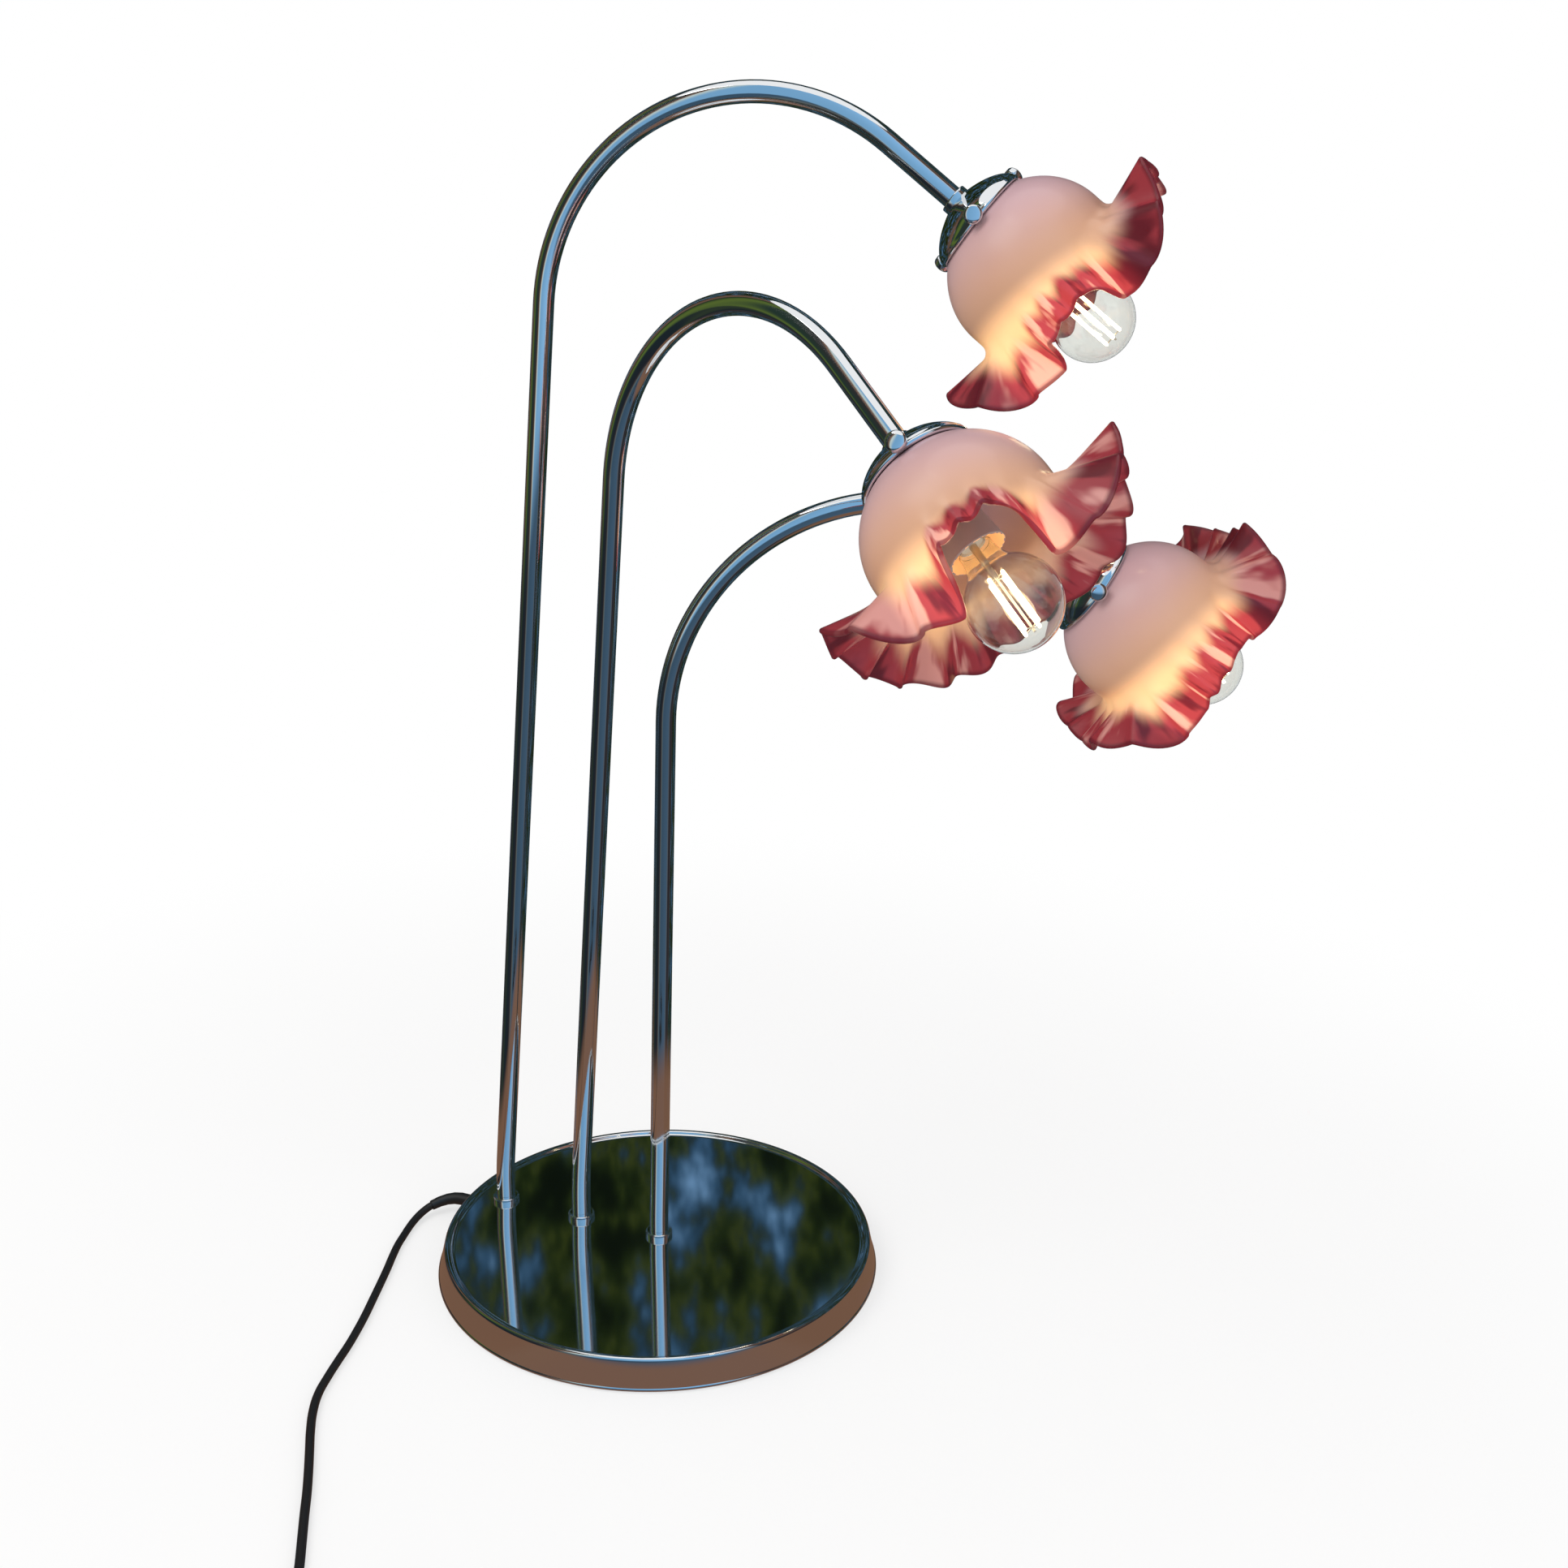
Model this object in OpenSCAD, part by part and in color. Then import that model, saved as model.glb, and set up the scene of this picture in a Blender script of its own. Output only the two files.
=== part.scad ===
// Three-armed table lamp: a round chromed foot, three bent chromed tubes of different
// heights, and on each a small gallery that holds a ruffled glass tulip shade over a
// clear golf-ball bulb. Millimetres, Z up, origin on the table under the middle of the
// foot. The three feet stand in a line along -X, the short arm on the centre.

/* [Foot] */
// Outer radius of the foot at its rolled bottom lip
base_r = 140; // [125:1:160]
// Height of the raised rim's crest above the table
base_h = 20; // [19:0.5:28]
// How far the rim's crest stands above the flat top
rim_rise = 2.5; // [1.5:0.25:3]
// Radius of the hollow curve between the top and the rim
rim_hollow_r = 3; // [2:0.5:4]
// Radius of the rim's rounded crest
rim_crest_r = 2.5; // [2:0.5:4]
// How much further out the bottom lip reaches than the top of the wall
wall_flare = 4; // [1:0.5:8]
// Radius of the rolled lip at the bottom of the wall
lip_r = 1.4; // [1:0.1:2]
// Height of the rolled lip above the table
lip_lift = 0.5; // [0.2:0.1:1]
// Thickness of the spun sheet
sheet_t = 1; // [0.8:0.1:1.2]
// Thickness of the felt pad
felt_t = 2; // [1.5:0.25:2.5]
// Width left open between the felt pad and the lip
felt_inset = 7; // [4:1:15]
// Thickness of the bottom cover plate
cover_t = 1.2; // [0.8:0.1:1.5]
// Distance of the iron weight from the foot's outer edge
weight_inset = 23; // [21:1:30]
// Thickness of the iron weight
weight_t = 6; // [4:0.5:6]
// Distance of the three cover screws from the foot's outer edge
screw_inset = 60; // [40:1:70]
// Outer diameter of the threaded posts under the top
post_d = 9; // [7:0.5:12]
// Diameter of the cover screws
cover_screw_d = 4; // [3:0.5:5]
// Diameter of the cover screws' heads
cover_screw_head_d = 8; // [6:0.5:10]

/* [Tubes] */
// Distance of the tall tube's centre from the foot's outer edge
tall_foot_inset = 28; // [26:1:40]
// Outer diameter of the tubes
tube_d = 12; // [11:0.5:13]
// Wall of the tubes
tube_wall = 1; // [0.8:0.1:1.2]
// Diameter of the collar where a tube meets the foot
collar_d = 17; // [15:0.5:22]
// Height of that collar
collar_h = 3.5; // [2:0.5:6]
// Straight length of each tube before it starts to lean
foot_rise = 12; // [11:0.5:20]
// Radius of the slight bend that starts the lean
lean_r = 260; // [150:10:400]
// Diameter of the two-core lead inside each tube
lead_d = 4.6; // [3.5:0.1:5.5]

/* [Tall arm] */
// Swivelled position of the tall arm, seen from above
tall_heading = 10; // [0:1:20]
// Lean of the tall stem towards its shade
tall_lean = 4.2; // [0:0.1:6]
// Straight length of the tall stem
tall_stem = 546; // [400:1:600]
// Radius of the tall arm's bend
tall_bend_r = 120; // [100:1:140]
// Direction of the tall arm's end, counted from straight up
tall_droop = 128; // [110:1:140]
// Straight length after the tall arm's bend
tall_end = 47; // [30:1:70]

/* [Middle arm] */
// Swivelled position of the middle arm, seen from above
middle_heading = -26.4; // [-40:0.2:-20]
// Lean of the middle stem towards its shade
middle_lean = 5.6; // [0:0.1:7]
// Straight length of the middle stem
middle_stem = 448; // [400:1:500]
// Radius of the middle arm's bend
middle_bend_r = 108; // [90:1:125]
// Direction of the middle arm's end, counted from straight up
middle_droop = 130; // [115:1:140]
// Straight length after the middle arm's bend
middle_end = 54; // [30:1:70]

/* [Short arm] */
// Swivelled position of the short arm, seen from above
short_heading = 18.5; // [14:0.5:30]
// Lean of the short stem towards its shade
short_lean = 1; // [0:0.1:4]
// Straight length of the short stem
short_stem = 325; // [280:1:360]
// Radius of the short arm's bend
short_bend_r = 134; // [110:1:150]
// Direction of the short arm's end, counted from straight up
short_droop = 124; // [110:1:140]
// Straight length after the short arm's bend
short_end = 24; // [20:1:50]

/* [Gallery] */
// Height of the gallery from the tube's end to its open rim
gallery_h = 17.5; // [16.5:0.5:20]
// Outer diameter of the gallery's skirt
gallery_d = 58; // [57:0.5:60]
// Thickness of the gallery's sheet
gallery_wall = 0.8; // [0.6:0.1:1]
// Radius of the rolled bead at the gallery's rim
bead_r = 1.4; // [1:0.1:1.8]
// Diameter of the hub that grips the tube's end
hub_d = 16; // [14.5:0.5:18]
// Length of that hub along the tube
hub_h = 3; // [2:0.5:6]
// Diameter of the thumbscrews' threads
thumb_d = 3; // [2.5:0.1:3.2]
// Distance of the thumbscrews from the gallery's rim
thumb_inset = 3.6; // [3.5:0.1:3.8]
// Diameter of the thumbscrews' knobs
knob_d = 10; // [7:0.5:11]
// Thickness of the thumbscrews' knobs
knob_t = 5; // [3:0.5:8]

/* [Shade] */
// Outer diameter of the glass neck
neck_d = 47; // [45:0.5:47.5]
// Diameter of the neck's thickened end
neck_end_d = 49.6; // [48.5:0.2:49.8]
// Depth of the neck inside the gallery
neck_depth = 6.9; // [6.8:0.05:7]
// Height of the neck's thickened end
neck_end_h = 1.6; // [1.4:0.1:1.7]
// Largest diameter of the glass body
globe_d = 95; // [88:1:100]
// Distance of the widest place from the gallery's rim
globe_len = 36; // [32:1:42]
// Half length of the ellipse that the body follows
globe_half = 44; // [40:1:50]
// Thickness of the glass
glass_t = 2.6; // [2:0.1:3]
// Straight glass between the widest place and the lip's bend
waist_len = 6; // [3:0.5:9]
// Length of the lip's bend, measured over the glass
bend_len = 9; // [7:0.5:12]
// Length of the two big petals on the tall and middle arms
petal_len = 33; // [26:1:40]
// Angle at which the big petals turn out, counted from the shade's axis
petal_turn = 96; // [85:1:110]
// Length of the tongues beside the notch
tongue_len = 42; // [30:1:46]
// Angle at which the tongues turn in
tongue_turn = -8; // [-14:1:-2]
// Length of the broad lip opposite the notch
apron_len = 36; // [30:1:44]
// Angle at which that broad lip turns out on the tall and middle arms
apron_turn = 44; // [30:1:60]
// Number of crimps around the lip
crimps = 20; // [16:1:24]
// Depth of the crimps at the edge
crimp_depth = 3.6; // [1:0.1:4]
// How much longer and shorter the lip gets in slow waves around its edge
edge_wave = 2; // [0:0.5:3]
// How much the lip's length changes from crimp to crimp
scallop = 1.2; // [0:0.1:2]

/* [Shade of each arm] */
// Turn of the tall arm's shade in its gallery
tall_shade_turn = 275; // [0:1:359]
// Lip left in the notch of the tall arm's shade
tall_notch_len = 22; // [9:1:40]
// Turn of the middle arm's shade in its gallery
middle_shade_turn = 228; // [0:1:359]
// Lip left in the notch of the middle arm's shade
middle_notch_len = 8; // [6:1:40]
// Turn of the short arm's shade in its gallery
short_shade_turn = 256; // [0:1:359]
// Lip left in the notch of the short arm's shade
short_notch_len = 32; // [9:1:40]
// Length of the big petals of the short arm's shade
short_petal_len = 29; // [24:1:36]
// Angle at which the broad lip of the short arm's shade turns out
short_apron_turn = 100; // [60:1:106]

/* [Lampholder and bulb] */
// Diameter of the lampholder's barrel
holder_d = 23; // [20:0.5:26]
// Diameter of the lampholder's mouth
holder_mouth_d = 29; // [26:0.5:31]
// Distance of the lampholder's mouth from the tube's end
holder_len = 66.5; // [64:0.5:70]
// Length of the lampholder's flared mouth
holder_flare = 22; // [15:1:26]
// Diameter of the bulb's ball
bulb_d = 45; // [42:0.5:47]
// Overall length of the bulb
bulb_len = 78; // [76:0.5:82]
// Distance of the ball's middle from the tube's end
bulb_z = 95.5; // [94:0.5:99]
// Diameter of the bulb's screw cap
cap_d = 14; // [13:0.1:15]
// Length of the bulb's screw cap with its contact
cap_len = 22; // [20:0.5:24]
// Diameter of the bulb's glass neck
bulb_neck_d = 17; // [15:0.5:18]
// Thickness of the bulb's glass
bulb_t = 0.8; // [0.6:0.1:1.2]
// Length of the glowing sticks
stick_len = 30; // [24:1:32]
// Diameter of the glowing sticks
stick_d = 1.8; // [1.2:0.1:2.4]
// Number of glowing sticks
sticks = 4; // [2:1:6]
// Radius of the ring on which the sticks stand
stick_ring_r = 5; // [4:0.5:6]

/* [Cord] */
// Diameter of the supply cord
cord_d = 5; // [4:0.5:6]
// Length of the in-line switch
switch_len = 58; // [50:1:70]
// Width of the in-line switch
switch_w = 22; // [18:1:26]
// Height of the in-line switch
switch_h = 15; // [13:0.5:18]
// Length of the switch's rocker
rocker_len = 17; // [14:0.5:20]
// Width of the switch's rocker
rocker_w = 9; // [7:0.5:12]
// Length of the plug's body
plug_len = 46; // [40:1:55]
// Width of the plug's body
plug_w = 34; // [28:1:36]
// Height of the plug's body
plug_h = 14; // [13:0.5:15]
// Diameter of the plug's pins
pin_d = 4; // [3.5:0.1:4.8]
// Length of the plug's pins
pin_len = 19; // [17:0.5:20]
// Distance between the plug's pins
pin_gap = 18.6; // [17:0.1:19]
// Outer diameter of the cord's coil
coil_d = 80; // [70:1:85]
// Number of turns side by side in the coil
coil_wide = 3; // [2:1:4]
// Number of layers in the coil
coil_high = 2; // [1:1:3]

/* [Hidden] */

$fn = 64;

// Clearances: a turning or sliding fit, and two pieces that only seat on each other
run_gap = 0.06;
seat_gap = 0.3;
// Extra length of a cut past the faces it opens
cut = 1;

// Radii inside the foot
// The tubes' feet stand in a row from the centre, at equal distances
foot_gap = (base_r - tall_foot_inset) / 2;
weight_r = base_r - weight_inset;
screw_ring_r = base_r - screw_inset;

// Heights inside the foot, from the table up
top_z = base_h - rim_rise;
under_z = top_z - sheet_t;
cover_z = felt_t;
weight_z = cover_z + cover_t;
weight_top = weight_z + weight_t;

// The rim: a hollow arc and a crest arc that meet at one slope
rim_sum = rim_hollow_r + rim_crest_r;
rim_slope = acos(1 - rim_rise / rim_sum);
crest_r = base_r - wall_flare - rim_crest_r;
crest_z = base_h - rim_crest_r;
hollow_r = crest_r - rim_sum * sin(rim_slope);
lip_ring_r = base_r - lip_r;
lip_z = lip_lift + lip_r;
wall_angle = atan((lip_ring_r + lip_r - crest_r - rim_crest_r) / (crest_z - lip_z));

// Threaded tube that holds each arm: it fits inside the arm's own bore
tube_r = tube_d / 2;
bore_r = tube_r - tube_wall;
nipple_r = bore_r - run_gap;
nipple_bore_r = nipple_r - 1.3;
nipple_in = foot_rise - 2;
washer_t = 1.2;
washer_r = 9;
nut_t = 3;
nut_flats = 14;
nipple_out = sheet_t + washer_t + nut_t + 0.5;

// Arms: name order tall, middle, short
TALL = [-2 * foot_gap, tall_heading, tall_lean, tall_stem, tall_bend_r, tall_droop, tall_end];
MIDDLE = [-foot_gap, middle_heading, middle_lean, middle_stem, middle_bend_r, middle_droop,
    middle_end];
SHORT = [0, short_heading, short_lean, short_stem, short_bend_r, short_droop, short_end];
FEET = [TALL[0], MIDDLE[0], SHORT[0]];

function lean(a) = a[2];
function droop(a) = a[5];
// Points of an arm's centre line in its own upright plane: [out, up] from its foot
function along(angle) = [sin(angle), cos(angle)];
function across(angle) = [cos(angle), -sin(angle)];
function p_rise(a) = [0, foot_rise];
function p_lean(a) = p_rise(a) + lean_r * (across(0) - across(lean(a)));
function p_stem(a) = p_lean(a) + a[3] * along(lean(a));
function p_bend(a) = p_stem(a) + a[4] * (across(lean(a)) - across(droop(a)));
function p_end(a) = p_bend(a) + a[6] * along(droop(a));

// Gallery and what it holds, counted along the shade's axis from the tube's end
skirt_r = gallery_d / 2;
dome_h = gallery_h - 3.5;
hub_r = hub_d / 2;
thumb_z = gallery_h - thumb_inset;
thumb_r = thumb_d / 2;
knob_from = skirt_r + bead_r + 0.4;
neck_r = neck_d / 2;
neck_end_r = neck_end_d / 2;
globe_r = globe_d / 2;
gallery_floor = 1.5;
head_nut_z = gallery_floor;
head_nut_t = 3;
head_nut_flats = 13;
holder_r = holder_d / 2;
holder_base_z = head_nut_z + head_nut_t;
mouth_r = holder_mouth_d / 2;
mouth_wall = 1.4;
head_nipple_len = holder_base_z + 6;

// Bulb
bulb_r = bulb_d / 2;
bulb_tip_z = bulb_z + bulb_r;
cap_z = bulb_tip_z - bulb_len;
cap_r = cap_d / 2;
cap_top_z = cap_z + cap_len;
bulb_neck_r = bulb_neck_d / 2;
bulb_neck_z = cap_top_z - 3;
bulb_blend = 140;

// Rubber bush in the foot's wall: flange inside, waist in the sheet, taper outside
cord_r = cord_d / 2;
gland_inside = 16;
gland_outside = 7;
gland_from = gland_inside - base_r;
gland_to = -gland_outside - base_r;
gland_r = 4.2;
gland_flange_r = 5.5;
gland_flange_t = 3;
gland_taper = 7;
exit_z = 9.5;
// The two wires inside the foot lie on the weight, under the three arms
wire_r = 0.9;
wire_gap = 2.4;
wire_from = gland_from + gland_flange_t;
wire_z = weight_top + wire_r;
// Terminal block, on the weight in line with the feet
block_from = 12;
block_size = [30, 14, 6.5];
screw_seat = 3;

// Cord: points of its centre line, counted from the bush's tip at table height, to the
// switch, chosen by hand
CORD_ROUTE = [[0, 0, 9.5], [-4.5, -0.8, 9.3], [-9, -2.8, 8.6], [-13, -6, 7.6],
    [-16.5, -10.5, 6.4], [-18.5, -15.5, 5.3], [-19.5, -21.5, 4.3], [-19.5, -28.5, 3.4],
    [-18.5, -36, 2.8], [-16.5, -45, 2.6], [-14, -55, 2.6], [-10, -67, 2.6], [-4.5, -82, 2.6],
    [1, -98, 2.6], [6, -113, 2.6], [11, -128, 2.6], [15.5, -143, 2.6], [19.5, -158, 2.6],
    [23, -174, 2.6], [26.5, -189, 2.6], [30.5, -203, 2.6], [37, -217, 2.6], [45.5, -231, 2.6],
    [55, -245, 2.6], [64.5, -259, 2.6], [74, -273.5, 2.6], [83, -288, 2.6], [92.5, -303, 2.6],
    [102, -318, 2.6], [109, -329.5, 2.9], [118.5, -339.5, 3.7], [130.5, -346, 5],
    [144, -347.5, 6.5], [153, -345.5, 7.3], [159, -343.2, 7.5]];
CORD = [for (p = CORD_ROUTE) p + [gland_to, 0, 0]];
switch_at = [CORD[len(CORD) - 1].x, CORD[len(CORD) - 1].y];
switch_turn = 21;
// Straight leads between the coil's side and the switch, and between it and the plug
switch_lead_run = 40;
plug_lead_run = 36;
coil_lap = 10;
coil_r = coil_d / 2;
coil_outer_turn = coil_r - cord_r;
coil_inner_r = coil_r - coil_wide * cord_d;
coil_h = coil_high * cord_d;
// The switch's lead touches the coil's near side, and the plug's lead its far side
cord_way = [cos(switch_turn), sin(switch_turn)];
cord_side = [sin(switch_turn), -cos(switch_turn)];
coil_at = switch_at + (switch_len + switch_lead_run) * cord_way + coil_outer_turn * cord_side;
plug_at = coil_at + coil_outer_turn * cord_side - plug_lead_run * cord_way;

// ---------- helpers ----------

function arc(centre, r, from, to, steps) =
    [for (i = [0:steps]) centre + r * [cos(from + (to - from) * i / steps),
        sin(from + (to - from) * i / steps)]];
function curve(a, b, c, steps) =
    [for (i = [0:steps]) let (t = i / steps)
        (1 - t) * (1 - t) * a + 2 * t * (1 - t) * b + t * t * c];
function reversed(list) = [for (i = [len(list) - 1:-1:0]) list[i]];
function unit(v) = v / norm(v);

// One bend in an arm's upright plane, from point p with direction angle from
module bend(p, r, from, turn, rod_r) {
    centre = p + r * across(from);
    translate([centre[0], 0, centre[1]])
        rotate([90, 0, 0])
            rotate([0, 0, 180 - from - turn])
                rotate_extrude(angle = turn)
                    translate([r, 0])
                        circle(r = rod_r);
}

// One straight run from point p with direction angle a, longer at its two ends
module run(p, a, length, rod_r, before, after) {
    translate([p[0], 0, p[1]])
        rotate([0, a, 0])
            translate([0, 0, -before])
                cylinder(r = rod_r, h = before + length + after);
}

// A rod of radius rod_r along the whole arm, longer at its foot and at its end. The
// straight runs lap over the ends of the bends, which are a hair thinner.
bend_lap = 0.5;
bend_slack = 0.05;
module arm_rod(a, rod_r, below = 0, beyond = 0) {
    run([0, 0], 0, foot_rise, rod_r, below, bend_lap);
    bend(p_rise(a), lean_r, 0, lean(a), rod_r - bend_slack);
    run(p_lean(a), lean(a), a[3], rod_r, bend_lap, bend_lap);
    bend(p_stem(a), a[4], lean(a), droop(a) - lean(a), rod_r - bend_slack);
    run(p_bend(a), droop(a), a[6], rod_r, bend_lap, beyond);
}

// Puts children on an arm's foot, turned to its heading
module at_foot(a) {
    translate([a[0], 0, top_z])
        rotate([0, 0, a[1]])
            children();
}

// Puts children at the tube's end, with +Z along the shade's axis
module at_head(a) {
    at_foot(a)
        translate([p_end(a)[0], 0, p_end(a)[1]])
            rotate([0, droop(a), 0])
                children();
}

module hex_nut(flats, t, hole_r) {
    difference() {
        cylinder(d = flats / cos(30), h = t, $fn = 6);
        translate([0, 0, -cut])
            cylinder(r = hole_r, h = t + 2 * cut);
    }
}

module threaded_pipe(r, inner_r, from, to) {
    translate([0, 0, from])
        difference() {
            cylinder(r = r, h = to - from);
            translate([0, 0, -cut])
                cylinder(r = inner_r, h = to - from + 2 * cut);
        }
}

// ---------- foot ----------

// Outline of the spun sheet's upper face from the axis to the bottom lip
shell_outer = concat([[0, top_z]],
    arc([hollow_r, top_z + rim_hollow_r], rim_hollow_r, -90, -90 + rim_slope, 6),
    arc([crest_r, crest_z], rim_crest_r, 90 + rim_slope, wall_angle, 12),
    [[lip_ring_r + 0.2, lip_z]]);
// The same outline one sheet thickness inside
shell_inner = concat([[0, under_z]],
    arc([hollow_r, top_z + rim_hollow_r], rim_hollow_r + sheet_t, -90, -90 + rim_slope, 6),
    arc([crest_r, crest_z], rim_crest_r - sheet_t, 90 + rim_slope, wall_angle, 12),
    [[lip_ring_r + 0.2 - sheet_t, lip_z]]);

module base_shell() {
    color("silver")
        difference() {
            union() {
                rotate_extrude($fn = 180)
                    union() {
                        polygon(concat(shell_outer, reversed(shell_inner)));
                        translate([lip_ring_r, lip_z])
                            circle(r = lip_r);
                    }
                for (i = [0:2])
                    rotate([0, 0, 30 + 120 * i])
                        translate([screw_ring_r, 0, weight_top])
                            cylinder(d = post_d, h = under_z + sheet_t / 2 - weight_top);
            }
            for (x = FEET)
                translate([x, 0, under_z - cut])
                    cylinder(r = nipple_r + run_gap, h = sheet_t + 2 * cut);
            for (i = [0:2])
                rotate([0, 0, 30 + 120 * i])
                    translate([screw_ring_r, 0, weight_top - cut])
                        cylinder(d = cover_screw_d, h = under_z - weight_top);
            translate([gland_from, 0, exit_z])
                rotate([0, -90, 0])
                    cylinder(r = gland_r, h = gland_from - gland_to);
        }
}

module base_weight() {
    color("dimgray")
        difference() {
            translate([0, 0, weight_z])
                cylinder(r = weight_r, h = weight_t, $fn = 120);
            for (i = [0:2])
                rotate([0, 0, 30 + 120 * i])
                    translate([screw_ring_r, 0, weight_z - cut])
                        cylinder(d = cover_screw_d + 1, h = weight_t + 2 * cut);
        }
}

cover_r = lip_ring_r - sheet_t - lip_r;
module bottom_cover() {
    color("gray")
        difference() {
            translate([0, 0, cover_z])
                cylinder(r = cover_r, h = cover_t, $fn = 120);
            for (i = [0:2])
                rotate([0, 0, 30 + 120 * i])
                    translate([screw_ring_r, 0, cover_z - cut])
                        cylinder(d = cover_screw_d + 1, h = cover_t + 2 * cut);
        }
}

module felt_pad() {
    color("black")
        difference() {
            cylinder(r = base_r - felt_inset, h = felt_t, $fn = 120);
            for (i = [0:2])
                rotate([0, 0, 30 + 120 * i])
                    translate([screw_ring_r, 0, -cut])
                        cylinder(d = cover_screw_head_d + 2, h = felt_t + 2 * cut);
        }
}

module cover_screws() {
    head_t = felt_t - 0.5;
    color("gray")
        for (i = [0:2])
            rotate([0, 0, 30 + 120 * i])
                translate([screw_ring_r, 0, cover_z - head_t]) {
                    cylinder(d = cover_screw_head_d, h = head_t);
                    cylinder(d = cover_screw_d - 2 * run_gap, h = under_z - cover_z + head_t - 3);
                }
}

module at_block_screws() {
    translate([block_from, -block_size.y / 2, weight_top])
        for (i = [0:2])
            translate([block_size.x * (2 * i + 1) / 6, block_size.y / 2, block_size.z - screw_seat])
                children();
}

module terminal_block() {
    color("ivory")
        difference() {
            translate([block_from, -block_size.y / 2, weight_top])
                cube(block_size);
            at_block_screws()
                cylinder(d = 5, h = screw_seat + cut);
        }
}

module terminal_screws() {
    color("gold")
        at_block_screws()
            difference() {
                cylinder(d = 4.6, h = 2.4);
                translate([-3, -0.4, 1.6])
                    cube([6, 0.8, 2]);
            }
}

module cord_gland() {
    waist = gland_from - gland_to - gland_taper;
    color("black")
        translate([gland_from, 0, exit_z])
            rotate([0, -90, 0])
                difference() {
                    union() {
                        cylinder(r = gland_flange_r, h = gland_flange_t);
                        cylinder(r = gland_r - run_gap, h = waist);
                        translate([0, 0, waist])
                            cylinder(r1 = gland_r - run_gap, r2 = cord_r + 0.8, h = gland_taper);
                    }
                    translate([0, 0, -cut])
                        cylinder(r = cord_r + run_gap, h = gland_from - gland_to + 2 * cut);
                }
}

// The cord's end inside the bush
module inner_cord() {
    color("black")
        translate([wire_from, 0, exit_z])
            rotate([0, -90, 0])
                cylinder(r = cord_r, h = wire_from - gland_to);
}

module base_wires() {
    color("white")
        for (side = [-1, 1])
            translate([wire_from, side * wire_gap / 2, wire_z])
                rotate([0, 90, 0])
                    cylinder(r = wire_r, h = block_from - wire_from);
}

// ---------- arms ----------

module arm_tube(a) {
    color("silver")
        at_foot(a)
            difference() {
                union() {
                    arm_rod(a, tube_r);
                    rotate_extrude()
                        polygon(concat([[0, 0], [collar_d / 2, 0]],
                            arc([collar_d / 2 - 1.2, collar_h - 1.2], 1.2, 0, 90, 5),
                            [[0, collar_h]]));
                }
                arm_rod(a, bore_r, cut, cut);
            }
}

module foot_nipple(a) {
    color("gold")
        at_foot(a)
            threaded_pipe(nipple_r, nipple_bore_r, -nipple_out, nipple_in);
}

module foot_nuts(a) {
    color("silver")
        at_foot(a) {
            translate([0, 0, -sheet_t - washer_t])
                difference() {
                    cylinder(r = washer_r, h = washer_t);
                    translate([0, 0, -cut])
                        cylinder(r = nipple_r + run_gap, h = washer_t + 2 * cut);
                }
            translate([0, 0, -sheet_t - washer_t - nut_t])
                hex_nut(nut_flats, nut_t, nipple_r + run_gap);
        }
}

// Two-core lead from the wires in the foot to the lampholder
lead_r = lead_d / 2;
module arm_lead(a) {
    color("white")
        at_foot(a)
            arm_rod(a, lead_r, top_z - wire_z - wire_r - seat_gap, head_nipple_len - cut);
}

// Dome of the gallery, outside and inside
dome_outer = curve([hub_r, gallery_floor - gallery_wall], [skirt_r * 0.83, 5.5],
    [skirt_r, dome_h], 14);
dome_inner = curve([hub_r, gallery_floor], [skirt_r * 0.83 - 0.5, 5.5 + gallery_wall * 1.2],
    [skirt_r - gallery_wall, dome_h], 14);
module gallery(a) {
    color("silver")
        at_head(a)
            difference() {
                rotate_extrude($fn = 120)
                    union() {
                        polygon(concat([[nipple_r + run_gap, 0], [tube_r + run_gap / 2, 0],
                            [tube_r + run_gap / 2, -hub_h], [hub_r, -hub_h]], dome_outer,
                            [[skirt_r, gallery_h - bead_r], [skirt_r - gallery_wall, gallery_h - bead_r]],
                            reversed(dome_inner), [[nipple_r + run_gap, gallery_floor]]));
                        translate([skirt_r - bead_r / 2, gallery_h - bead_r])
                            circle(r = bead_r);
                    }
                for (i = [0:2])
                    rotate([0, 0, 120 * i + thumb_start(a)])
                        translate([skirt_r - 6, 0, thumb_z])
                            rotate([0, 90, 0])
                                cylinder(r = thumb_r + run_gap, h = 12);
            }
}
// One thumbscrew of each gallery faces the viewer's side
function thumb_start(a) = a[1] < 0 ? 234 : 267;

module head_nipple(a) {
    color("gold")
        at_head(a) {
            threaded_pipe(nipple_r, nipple_bore_r, -8, head_nipple_len);
            translate([0, 0, head_nut_z])
                hex_nut(head_nut_flats, head_nut_t, nipple_r + run_gap);
        }
}

module lampholder(a) {
    color("white")
        at_head(a)
            difference() {
                rotate_extrude()
                    polygon([[0, holder_base_z], [holder_r - 2, holder_base_z], [holder_r, holder_base_z + 3],
                        [holder_r, holder_len - holder_flare], [mouth_r, holder_len],
                        [mouth_r - mouth_wall, holder_len],
                        [cap_r + 2.5, holder_len - 9], [cap_r + run_gap, holder_len - 9],
                        [cap_r + run_gap, cap_z + 3], [3, cap_z], [0, cap_z]]);
                translate([0, 0, holder_base_z - cut])
                    cylinder(r = nipple_r + run_gap, h = head_nipple_len - holder_base_z + 2 * cut);
            }
}

module bulb_cap(a) {
    color("gold")
        at_head(a)
            difference() {
                rotate_extrude()
                    polygon([[0, cap_z + 0.3], [2.8, cap_z + 0.3], [cap_r, cap_z + 3.6],
                        [cap_r, cap_top_z], [0, cap_top_z]]);
                translate([0, 0, bulb_neck_z - 0.2])
                    cylinder(r = cap_r - 0.5, h = 4);
            }
}

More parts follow.
